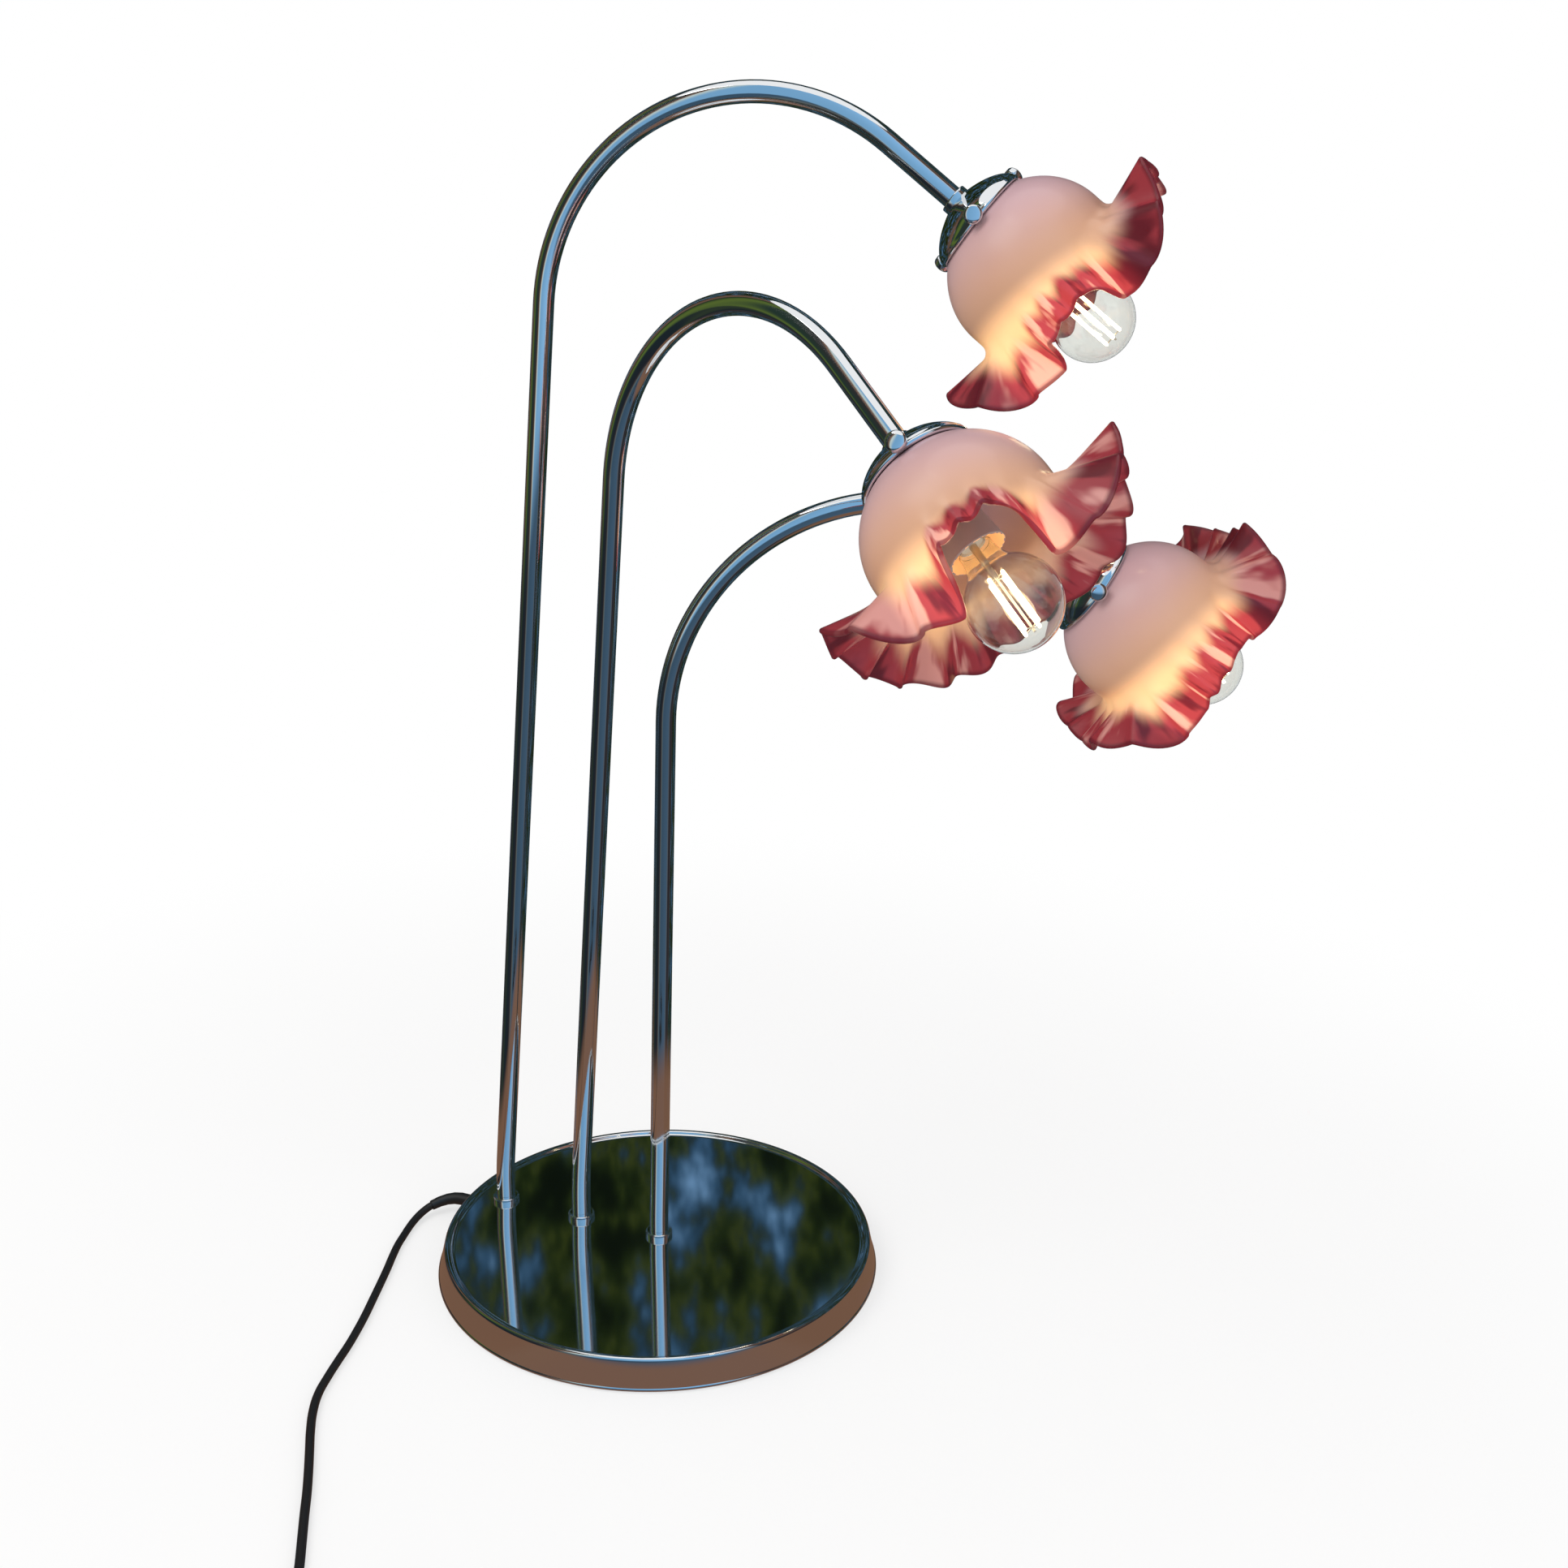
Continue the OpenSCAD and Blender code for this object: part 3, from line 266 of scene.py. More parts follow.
def revolved(profile, seat, columns):
    """Surface of revolution: the profile's point (r, h) at angle a stands at
    origin + r cos a X + r sin a Y + h Z of the seat. A profile with both ends on the axis
    is closed at its poles, and any other one is closed on itself."""
    profile = np.asarray(profile, float)
    origin, x, y, z = seat
    a = 2 * np.pi * np.arange(columns) / columns
    r, h = profile[:, :1], profile[:, 1:]
    points = (origin + (r * np.cos(a))[..., None] * x + (r * np.sin(a))[..., None] * y
              + np.broadcast_to(h, (len(profile), columns))[..., None] * z)
    closed = profile[0, 0] > 0 or profile[-1, 0] > 0
    return points.reshape(-1, 3), ring_faces(len(profile), columns, closed)


def pipe(path, directions, side, outer, inner, columns):
    """Round pipe along a path: the point at angle a of a ring at p stands at
    p + radius (cos a N + sin a S), with S the given side and N square to S and the path.
    The outer wall runs along the path and the inner wall runs back."""
    across = np.cross(side, directions)
    across /= np.linalg.norm(across, axis=1)[:, None]
    a = 2 * np.pi * np.arange(columns)[:, None] / columns
    spoke = np.cos(a) * across[:, None] + np.sin(a) * np.broadcast_to(side, path.shape)[:, None]
    outer, inner = (np.broadcast_to(r, len(path))[:, None, None] for r in (outer, inner))
    points = np.concatenate([path[:, None] + outer * spoke, (path[:, None] + inner * spoke)[::-1]])
    return points.reshape(-1, 3), ring_faces(len(points), columns, True)


def add_object(name, data):
    """Object for a mesh, curve, lamp or camera, linked to the scene."""
    thing = bpy.data.objects.new(name, data)
    bpy.context.scene.collection.objects.link(thing)
    return thing


def add_piece(name, body, patches, finish, replaces=(), crease=32, weld=True):
    """Mesh object made of patches of points and quads. Doubles are merged, so poles close,
    faces are turned outwards and edges sharper than the crease stay sharp."""
    points = np.concatenate([p for p, _ in patches])
    starts = np.cumsum([0] + [len(p) for p, _ in patches[:-1]])
    faces = np.concatenate([f + s for (_, f), s in zip(patches, starts)])
    mesh = bpy.data.meshes.new(name)
    mesh.from_pydata(points.tolist(), [], faces.tolist())
    if weld:
        shaped = bmesh.new()
        shaped.from_mesh(mesh)
        bmesh.ops.remove_doubles(shaped, verts=shaped.verts, dist=1e-6)
        bmesh.ops.recalc_face_normals(shaped, faces=shaped.faces)
        shaped.to_mesh(mesh)
        shaped.free()
    mesh.shade_smooth()
    mesh.set_sharp_from_angle(angle=math.radians(crease))
    mesh.materials.append(finish)
    piece = add_object(name, mesh)
    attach(piece, body)
    if replaces:
        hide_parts(*replaces)
    return piece


# ---------- places along an arm ----------


def arm_of(context, name):
    """The sizes of the arm with that name."""
    return getattr(context.scene, f"lamp_{name}_arm")


def foot_seat(context, arm):
    """Origin and X, Y, Z directions at an arm's foot, on the flat top, turned to its heading."""
    foot, tube = context.scene.lamp_foot, context.scene.lamp_tubes
    out, aside = math.cos(arm.heading), math.sin(arm.heading)
    origin = np.array([-arm.feet_from_centre * tube.foot_gap, 0, foot.height - foot.rim_rise])
    return origin, np.array([out, aside, 0]), np.array([-aside, out, 0]), np.array([0, 0, 1.0])


def arm_line(context, arm):
    """Centre line of an arm in its own upright plane, as points [out, up] and directions.
    Each straight run goes along (sin a, cos a), and each bend is p + r (across a0 - across a)
    with across a = (cos a, -sin a)."""
    tube = context.scene.lamp_tubes
    lean_steps, bend_steps = 6, 48

    def along(a):
        return np.stack([np.sin(a), np.cos(a)], -1)

    def across(a):
        return np.stack([np.cos(a), -np.sin(a)], -1)

    leaning = np.linspace(0, arm.lean, lean_steps + 1)
    bending = np.linspace(arm.lean, arm.droop, bend_steps + 1)
    start = np.array([[0.0, 0.0]])
    rise = np.array([0, tube.rise]) + tube.lean_radius * (across(0.0) - across(leaning))
    stem = rise[-1] + arm.stem * along(arm.lean) + arm.bend * (across(arm.lean) - across(bending))
    end = stem[-1:] + arm.end * along(arm.droop)
    turns = np.concatenate([[0.0], leaning, bending, [arm.droop]])
    return np.concatenate([start, rise, stem, end]), along(turns)


def head_seat(context, arm):
    """Origin and X, Y, Z directions at a tube's end, with Z along the shade's axis."""
    origin, out, aside, up = foot_seat(context, arm)
    path, ways = arm_line(context, arm)
    sine, cosine = ways[-1]
    return (origin + path[-1, 0] * out + path[-1, 1] * up, cosine * out - sine * up, aside,
            sine * out + cosine * up)


def heads(context):
    """Name of each arm, with the seat at its tube's end."""
    return [(name, head_seat(context, arm_of(context, name))) for name in ARMS]


# ---------- finishes ----------


def connect(tree, source, socket):
    """Links an output to a socket, or sets the socket to a value or a linear colour."""
    if isinstance(source, bpy.types.NodeSocket):
        tree.links.new(source, socket)
    else:
        socket.default_value = (*source, 1) if socket.type == "RGBA" else source


def plain_finish(name, base, roughness, metallic=0.0, sockets=()):
    """Material with one Principled shader and constant values."""
    material = bpy.data.materials.new(name)
    material.use_nodes = True
    inputs = material.node_tree.nodes["Principled BSDF"].inputs
    values = {"Base Color": base, "Roughness": roughness, "Metallic": metallic, **dict(sockets)}
    for socket, value in values.items():
        connect(material.node_tree, value, inputs[socket])
    return material


def chrome_finish(context):
    """Bright chrome plate, made the first time it is asked for."""
    colours = context.scene.lamp_colours
    return bpy.data.materials.get("bright_chrome") or plain_finish(
        "bright_chrome", colours.chrome, colours.chrome_roughness, 1.0)


def cord_finish(context):
    """Soft black plastic of the cord, its bush, switch and plug, made the first time."""
    return bpy.data.materials.get("black_cord_plastic") or plain_finish(
        "black_cord_plastic", context.scene.lamp_colours.cord, 0.42)


def add_node(tree, kind, inputs=(), **settings):
    """New shader node with its settings, and its inputs set or linked."""
    node = tree.nodes.new(kind)
    for name, value in settings.items():
        setattr(node, name, value)
    for socket, source in dict(inputs).items():
        connect(tree, source, node.inputs[socket])
    return node


def colour_mix(tree, share_from, first, second, blend="MIX"):
    """Mix of two colours, each a linear colour or an output."""
    mix = add_node(tree, "ShaderNodeMix", {"Factor": share_from}, data_type="RGBA",
                   blend_type=blend)
    sockets = [socket for socket in mix.inputs if socket.type == "RGBA"]
    for source, socket in zip((first, second), sockets):
        connect(tree, source, socket)
    return next(socket for socket in mix.outputs if socket.type == "RGBA")


def colour_ramp(tree, source, *stops):
    """Colour ramp over a value, with stops (place, colour)."""
    node = add_node(tree, "ShaderNodeValToRGB", {"Fac": source})
    node.color_ramp.interpolation = "EASE"
    elements = node.color_ramp.elements
    while len(elements) < len(stops):
        elements.new(0.5)
    for element, (place, shown) in zip(elements, stops):
        element.position = place
        element.color = (*shown, 1)
    return node.outputs["Color"]


def ramp(tree, source, *stops):
    """Grey ramp over a value, with stops (place, level)."""
    return colour_ramp(tree, source, *((at, (level,) * 3) for at, level in stops))


def shade_finish(context):
    """Satin glass, mauve on the body and wine red towards the lip, with streaks that run
    down the lip, a dark line on its edge and a warm glow near the bulb."""
    colours = context.scene.lamp_colours
    material = plain_finish("ruffled_satin_glass", colours.glass_body, 0.32, sockets={
        "Coat Weight": 0.2, "Coat Roughness": 0.12, "Specular IOR Level": 0.35,
        "Emission Strength": colours.glow_strength})
    tree = material.node_tree
    streak_place, lip_tint, rim_line, warm = (
        add_node(tree, "ShaderNodeAttribute", attribute_name=name).outputs
        for name in ("streak_place", "lip_tint", "rim_line", "warm"))
    streaks = add_node(tree, "ShaderNodeTexNoise", {
        "Vector": streak_place["Vector"], "Scale": 6.0, "Detail": 3.0}).outputs["Fac"]
    ragged = add_node(tree, "ShaderNodeMix", {
        "Factor": 0.4, "A": lip_tint["Fac"], "B": streaks}, data_type="FLOAT")
    tinted = ramp(tree, ragged.outputs["Result"], (0.27, 0.0), (0.72, 1.0))
    lip = colour_ramp(tree, streaks, (0.37, colours.glass_rim), (0.46, colours.glass_lip),
                      (0.53, colours.glass_lip), (0.62, colours.glass_pale))
    # Painted light from the bulb: the body turns peach, and glows most where it is nearest the bulb
    near = ramp(tree, warm["Fac"], (0.0, 0.0), (0.75, 1.0))
    body = colour_mix(tree, near, colours.glass_body, colours.glass_painted_bulb_light)
    flowing = colour_mix(tree, tinted, body, lip)
    whole = colour_mix(tree, rim_line["Fac"], flowing, colours.glass_rim)
    glow_share = ramp(tree, warm["Fac"], (0.66, 0.0), (1.0, 1.0))
    glow = colour_mix(tree, glow_share, (0, 0, 0), colours.glow)
    shader = tree.nodes["Principled BSDF"]
    connect(tree, whole, shader.inputs["Base Color"])
    connect(tree, colour_mix(tree, 1.0, glow, whole, "MULTIPLY"), shader.inputs["Emission Color"])
    return material


# ---------- pieces ----------


class LAMP_OT_foot(bpy.types.Operator):
    """Spun foot with its raised rim, flared wall and rolled lip"""

    bl_idname = "lamp.foot"
    bl_label = "Foot"

    def execute(self, context):
        foot = context.scene.lamp_foot
        top = foot.height - foot.rim_rise
        both = foot.hollow_radius + foot.crest_radius
        slope = math.degrees(math.acos(1 - foot.rim_rise / both))
        crest_at = (foot.radius - foot.wall_flare - foot.crest_radius,
                    foot.height - foot.crest_radius)
        hollow_at = (crest_at[0] - both * math.sin(math.radians(slope)), top + foot.hollow_radius)
        lip_at = (foot.radius - foot.lip_radius, foot.lip_lift + foot.lip_radius)
        wall_turn = math.degrees(math.atan2(
            foot.radius - crest_at[0] - foot.crest_radius, crest_at[1] - lip_at[1]))
        face = np.concatenate([
            [[0, top]],
            arc(hollow_at, foot.hollow_radius, -90, -90 + slope, 12),
            arc(crest_at, foot.crest_radius, 90 + slope, wall_turn, 24)[1:],
            arc(lip_at, foot.lip_radius, 60, -180, 20)])
        back = np.concatenate([
            arc(crest_at, foot.crest_radius - foot.sheet, wall_turn, 90 + slope, 16),
            arc(hollow_at, foot.hollow_radius + foot.sheet, -90 + slope, -90, 8),
            [[0, top - foot.sheet]]])
        seat = (np.zeros(3), *np.eye(3))
        add_piece("foot_shell", FOOT_BODY,
                  [revolved(np.concatenate([face, back]), seat, 256)],
                  chrome_finish(context), ["base_shell"], crease=40)
        return {"FINISHED"}


class LAMP_OT_tubes(bpy.types.Operator):
    """Bent tubes of the three arms with their collars"""

    bl_idname = "lamp.tubes"
    bl_label = "Tubes"

    def execute(self, context):
        tube = context.scene.lamp_tubes
        outer = tube.diameter / 2
        for name in ARMS:
            arm = arm_of(context, name)
            origin, out, aside, up = seat = foot_seat(context, arm)
            path, ways = arm_line(context, arm)
            path = origin + path[:, :1] * out + path[:, 1:] * up
            ways = ways[:, :1] * out + ways[:, 1:] * up
            rod = pipe(path, ways, aside, outer, outer - tube.wall, 40)
            inside, collar_r = outer - tube.wall / 2, tube.collar_diameter / 2
            collar = np.concatenate([
                [[inside, 0], [collar_r, 0]],
                arc((collar_r - tube.collar_round, tube.collar_height - tube.collar_round),
                    tube.collar_round, 0, 90, 8),
                [[inside, tube.collar_height]]])
            add_piece(f"{name}_chrome_tube", f"{name}_arm", [rod, revolved(collar, seat, 64)],
                      chrome_finish(context), [f"{name}_tube"])
        return {"FINISHED"}


class LAMP_OT_galleries(bpy.types.Operator):
    """Domed galleries with a beaded rim at the tubes' ends"""

    bl_idname = "lamp.galleries"
    bl_label = "Galleries"

    def execute(self, context):
        size = context.scene.lamp_galleries
        tube_radius = context.scene.lamp_tubes.diameter / 2
        skirt = size.diameter / 2
        dome = size.height - size.skirt
        knee = np.array([0.83 * skirt, 0.0055])
        inner_knee = knee + [-0.0005, 0.00096]
        hub_round, seat_width = 0.0008, 0.0008
        bore = tube_radius - seat_width
        profile = np.concatenate([
            [[tube_radius, 0], [tube_radius, -size.hub_height]],
            arc((size.hub_radius - hub_round, hub_round - size.hub_height), hub_round, -90, 0, 4),
            quadratic((size.hub_radius, size.floor - size.wall), knee, (skirt, dome), 24),
            arc((skirt - size.bead / 2, size.height - size.bead), size.bead, -45, 225, 20),
            quadratic((skirt - size.wall, dome), inner_knee, (size.hub_radius, size.floor), 24),
            [[bore, size.floor], [bore, 0]]])
        for name, seat in heads(context):
            add_piece(f"{name}_chrome_gallery", f"{name}_arm", [revolved(profile, seat, 128)],
                      chrome_finish(context), [f"{name}_gallery"])
        return {"FINISHED"}


# Place of each gallery's first thumbscrew, in degrees from the X of its seat
FIRST_SCREW = {"tall": 267, "middle": 234, "short": 267}


class LAMP_OT_thumbscrews(bpy.types.Operator):
    """Three round-headed thumbscrews on each gallery"""

    bl_idname = "lamp.thumbscrews"
    bl_label = "Thumbscrews"

    def execute(self, context):
        size = context.scene.lamp_galleries
        shade = context.scene.lamp_shades
        glass_gap, chamfer, knob_round, straight_share = 0.00015, 0.0004, 0.001, 0.6
        knob_from = size.diameter / 2 + size.bead + size.knob_stand
        knob_to = knob_from + size.knob_thickness
        side_to = knob_from + straight_share * size.knob_thickness
        tip = shade.neck_radius + glass_gap
        thread, knob = size.screw_radius, size.knob_radius
        profile = np.concatenate([
            [[0, tip], [thread - chamfer, tip], [thread, tip + chamfer], [thread, knob_from]],
            arc((knob - knob_round, knob_from + knob_round), knob_round, -90, 0, 6),
            quadratic((knob, side_to), (knob, knob_to), (0, knob_to), 16)])
        level = size.height - size.screw_inset
        for name, (origin, x, y, z) in heads(context):
            for number in range(3):
                a = math.radians(FIRST_SCREW[name] + 120 * number)
                outwards = math.cos(a) * x + math.sin(a) * y
                seat = (origin + level * z, z, np.cross(outwards, z), outwards)
                screw = f"{name}_thumbscrew_{number + 1}"
                add_piece(f"{screw}_polished", f"{name}_screw_{number + 1}",
                          [revolved(profile, seat, 48)], chrome_finish(context),
                          [screw])
        return {"FINISHED"}


def keyed(keys, around, column):
    """Value between the keys on either side of an angle, eased by (1 - cos pi t) / 2."""
    places = keys[:, 0]
    left = np.clip(np.searchsorted(places, around, side="right") - 1, 0, len(keys) - 2)
    t = (around - places[left]) / (places[left + 1] - places[left])
    ease = (1 - np.cos(np.pi * t)) / 2
    return keys[left, column] * (1 - ease) + keys[left + 1, column] * ease


def lip_keys(size, arm):
    """Rows of angle from the notch, lip length and turn, around half of a shade."""
    mm, turned = 0.001, math.radians
    petal, out = arm.petal, arm.apron_turn
    rows = [
        (0, arm.notch, turned(6)), (17, arm.notch + 2 * mm, turned(4)),
        (35, size.tongue, size.tongue_turn), (47, size.tongue + mm, turned(20)),
        (60, petal + 4 * mm, size.petal_turn - turned(32)), (74, petal, size.petal_turn),
        (90, petal - mm, size.petal_turn - turned(8)),
        (105, petal + mm, (size.petal_turn + out) / 2), (122, size.apron, out + turned(16)),
        (142, size.apron - mm, out + turned(6)), (180, size.apron, out)]
    return np.array([(turned(a), lip, turn) for a, lip, turn in rows])


def shade_face(size, arm, down, around):
    """Outer face of the glass as [across, aside, along] over rows and angles. The body,
    down from -1 to 0, is an ellipse. The lip, down from 0 to 1, runs straight past the
    waist, bends over a fixed length and runs straight again, and crimps of the form
    depth down^1.6 sin(n a + sin 4a) grow towards its edge, which is scalloped as cos n a.
    They vary slowly around the lip, and are weaker where it turns out less."""
    least_turn, full_turn = 2e-5, math.radians(60)
    down, around = down[:, None], around[None, :]
    body_length = size.globe_half * math.sqrt(1 - (size.neck_radius / size.globe_radius) ** 2)
    behind = np.minimum(down, 0) * body_length
    body_r = size.globe_radius * np.sqrt(1 - (behind / size.globe_half) ** 2)
    past_notch = np.mod(around, 2 * np.pi)
    past_notch = np.minimum(past_notch, 2 * np.pi - past_notch)
    keys = lip_keys(size, arm)
    lip = (keyed(keys, past_notch, 1) + size.edge_wave * np.sin(5 * around + math.radians(50))
           + size.scallop * np.cos(size.crimps * around + math.radians(30)))
    turn = keyed(keys, past_notch, 2) + least_turn
    share_down = np.maximum(down, 0)
    run = share_down * (size.waist + lip)
    bent = np.clip(run - size.waist, 0, size.bend)
    flat = np.maximum(run - size.waist - size.bend, 0)
    bow = size.bend / turn
    at = turn * bent / size.bend
    uneven = ((0.8 + 0.3 * np.sin(3 * around + math.radians(70)))
              * (0.5 + 0.5 * np.clip(turn / full_turn, 0, 1)))
    crimp = (size.crimp_depth * share_down ** 1.6 * uneven
             * np.sin(size.crimps * around + 1.1 * np.sin(4 * around)))
    r = body_r + bow * (1 - np.cos(at)) + flat * np.sin(turn) + crimp * np.cos(at)
    w = (size.globe_length + behind + np.minimum(run, size.waist) + bow * np.sin(at)
         + flat * np.cos(turn) - crimp * np.sin(at))
    return np.stack([r * np.cos(around), r * np.sin(around), w], -1), crimp


def across_grid(points):
    """Unit normals of a grid that is closed around its columns: the cross product of its
    change around and its change down the rows."""
    around = np.roll(points, -1, 1) - np.roll(points, 1, 1)
    down = np.gradient(points, axis=0)
    normal = np.cross(around, down)
    return normal / np.linalg.norm(normal, axis=-1, keepdims=True)


def paint(piece, label, values, kind="FLOAT", field="value"):
    """Stores a value or a vector at every point of a piece, for its finish to read."""
    attribute = piece.data.attributes.new(label, kind, "POINT")
    attribute.data.foreach_set(field, np.ascontiguousarray(values, np.float32).ravel())


class LAMP_OT_shades(bpy.types.Operator):
    """Ruffled satin glass shades, wine red at the lip"""

    bl_idname = "lamp.shades"
    bl_label = "Shades"

    def execute(self, context):
        size = context.scene.lamp_shades
        columns = 480
        around = 2 * np.pi * np.arange(columns) / columns
        radial = np.stack([np.cos(around), np.sin(around), 0 * around], -1)
        down = np.concatenate([np.linspace(-1, 0, 22)[:-1], np.linspace(0, 1, 44)])
        lip_down = np.concatenate([-np.ones(3), down, np.ones(5), down[::-1], -np.ones(3)])[:, None]
        finish = shade_finish(context)
        for name, (origin, x, y, z) in heads(context):
            arm = arm_of(context, name)
            face, crimp = shade_face(size, arm, down, around)
            rings = self.glass_rings(size, down, radial, face)
            cos_turn, sin_turn = math.cos(arm.shade_turn), math.sin(arm.shade_turn)
            turned_x, turned_y = cos_turn * x + sin_turn * y, cos_turn * y - sin_turn * x
            points = (origin + context.scene.lamp_galleries.height * z + rings[..., :1] * turned_x
                      + rings[..., 1:2] * turned_y + rings[..., 2:] * z)
            piece = add_piece(
                f"{name}_ruffled_shade", f"{name}_arm",
                [(points.reshape(-1, 3), ring_faces(len(rings), columns, True)[:, ::-1])],
                finish, [f"{name}_shade"], crease=180, weld=False)

            level = np.zeros((3, columns))
            ridge = np.concatenate([level, crimp, np.repeat(crimp[-1:], 5, 0), crimp[::-1], level])
            tint_from, tint_run, ridge_shift = 0.22, 0.62, 0.24 / size.crimp_depth
            spread = np.clip((lip_down - tint_from + ridge_shift * ridge) / tint_run, 0, 1)
            paint(piece, "lip_tint", spread * spread * (3 - 2 * spread))
            rim_from, rim_run, rim_level = 0.965, 0.03, 0.8
            rim_line = rim_level * np.clip((lip_down - rim_from) / rim_run, 0, 1)
            paint(piece, "rim_line", np.broadcast_to(rim_line, spread.shape))
            # Painted light from the bulb: strong near the ball, weaker on the upper side and stronger
            # towards the notch
            from_bulb = np.linalg.norm(
                points - (origin + context.scene.lamp_bulbs.ball_at * z), axis=-1)
            upwards = rings[..., 0] * turned_x[2] + rings[..., 1] * turned_y[2]
            bulb_light_reach, bulb_light_fade, less_above, more_beside = 0.082, 0.036, 0.22, 0.15
            warm = ((bulb_light_reach - from_bulb) / bulb_light_fade
                    - less_above * upwards / size.globe_radius + more_beside * np.cos(around))
            paint(piece, "warm", np.clip(warm, 0, 1))
            # Far stretched down the lip, and moved, so that each shade has its own streaks
            stretched, own_place = 0.12 * lip_down, 3.0 * len(name)
            streak = np.broadcast_arrays(np.cos(around), np.sin(around), stretched)
            paint(piece, "streak_place", np.stack(streak, -1) + own_place,
                  "FLOAT_VECTOR", "vector")
        return {"FINISHED"}

    @staticmethod
    def glass_rings(size, down, radial, face):
        """Rings of the closed glass: neck, outer face, round edge, inner face and neck. The
        inner face lies one thickness in along the normals, which turn level at the neck, and
        the edge is a half round: middle + half thickness (cos b normal + sin b way out)."""
        normal = across_grid(face)
        level_share, neck_step = 0.2, 0.0002
        straight = np.clip((down + 1) / level_share, 0, 1)[:, None, None]
        normal = (1 - straight) * radial + straight * normal
        normal /= np.linalg.norm(normal, axis=-1, keepdims=True)
        back = face - size.thickness * normal
        neck = np.array([
            (size.neck_end_radius, -size.neck_depth),
            (size.neck_end_radius, size.neck_end_height - size.neck_depth),
            (size.neck_radius, size.neck_end_height + neck_step - size.neck_depth)])[:, None]
        neck_face = neck[..., :1] * radial + neck[..., 1:] * [0, 0, 1]
        neck_back = neck_face - size.thickness * radial
        edge_way = face[-1] - face[-2]
        edge_way /= np.linalg.norm(edge_way, axis=-1, keepdims=True)
        round_by = np.radians([30, 60, 90, 120, 150])[:, None, None]
        edge = (face[-1] + back[-1]) / 2 + size.thickness / 2 * (
            np.cos(round_by) * normal[-1] + np.sin(round_by) * edge_way)
        return np.concatenate([neck_face, face, edge, back[::-1], neck_back[::-1]])


class LAMP_OT_lampholders(bpy.types.Operator):
    """Lampholders with a flared mouth around the bulbs' caps"""

    bl_idname = "lamp.lampholders"
    bl_label = "Lampholders"

    def execute(self, context):
        size = context.scene.lamp_bulbs
        colours = context.scene.lamp_colours
        finish = plain_finish("holder_plastic", colours.holder, 0.38)
        # Painted light: the inside of each mouth is orange and glows, as if lit by the bulb
        lit = plain_finish("holder_mouth_painted_light", (0.75, 0.42, 0.20), 0.4, sockets={
            "Emission Color": (1.0, 0.45, 0.14), "Emission Strength": 0.6})
        low, high = size.holder_from, size.holder_to
        base_round, ring, ring_height = 0.002, 0.0006, 0.0014
        chamfer, mouth_wall, funnel = 0.0004, 0.0014, 0.0021
        cap_gap, mouth_depth, socket_depth, lit_below = 0.0004, 0.009, 0.012, 0.001
        barrel, mouth, socket = size.holder_radius, size.holder_mouth, size.cap_radius + cap_gap
        step, inside = high - size.holder_flare, high - mouth_depth
        bottom = inside - socket_depth
        profile = np.concatenate([
            [[0, low]],
            arc((barrel - base_round, low + base_round), base_round, -90, 0, 8),
            [[barrel, step - ring_height - ring], [barrel + ring, step - ring_height],
             [barrel + ring, step], [mouth, high - chamfer], [mouth - chamfer, high],
             [mouth - mouth_wall + chamfer, high], [mouth - mouth_wall, high - chamfer],
             [socket + funnel, inside], [socket, inside], [socket, bottom], [0, bottom]]])
        for name, seat in heads(context):
            piece = add_piece(f"{name}_holder", f"{name}_arm", [revolved(profile, seat, 96)],
                              finish, [f"{name}_lampholder"], crease=35)
            piece.data.materials.append(lit)
            origin, _, _, z = seat
            polygons = piece.data.polygons
            centres, normals = np.zeros((2, len(polygons), 3))
            polygons.foreach_get("center", centres.ravel())
            polygons.foreach_get("normal", normals.ravel())
            height = (centres - origin) @ z
            outwards = centres - origin - height[:, None] * z
            # Faces inside the mouth, which take the painted light
            inner = (height > inside - lit_below) & (np.sum(outwards * normals, 1) < 0)
            polygons.foreach_set("material_index", inner.astype(np.int32))
        return {"FINISHED"}


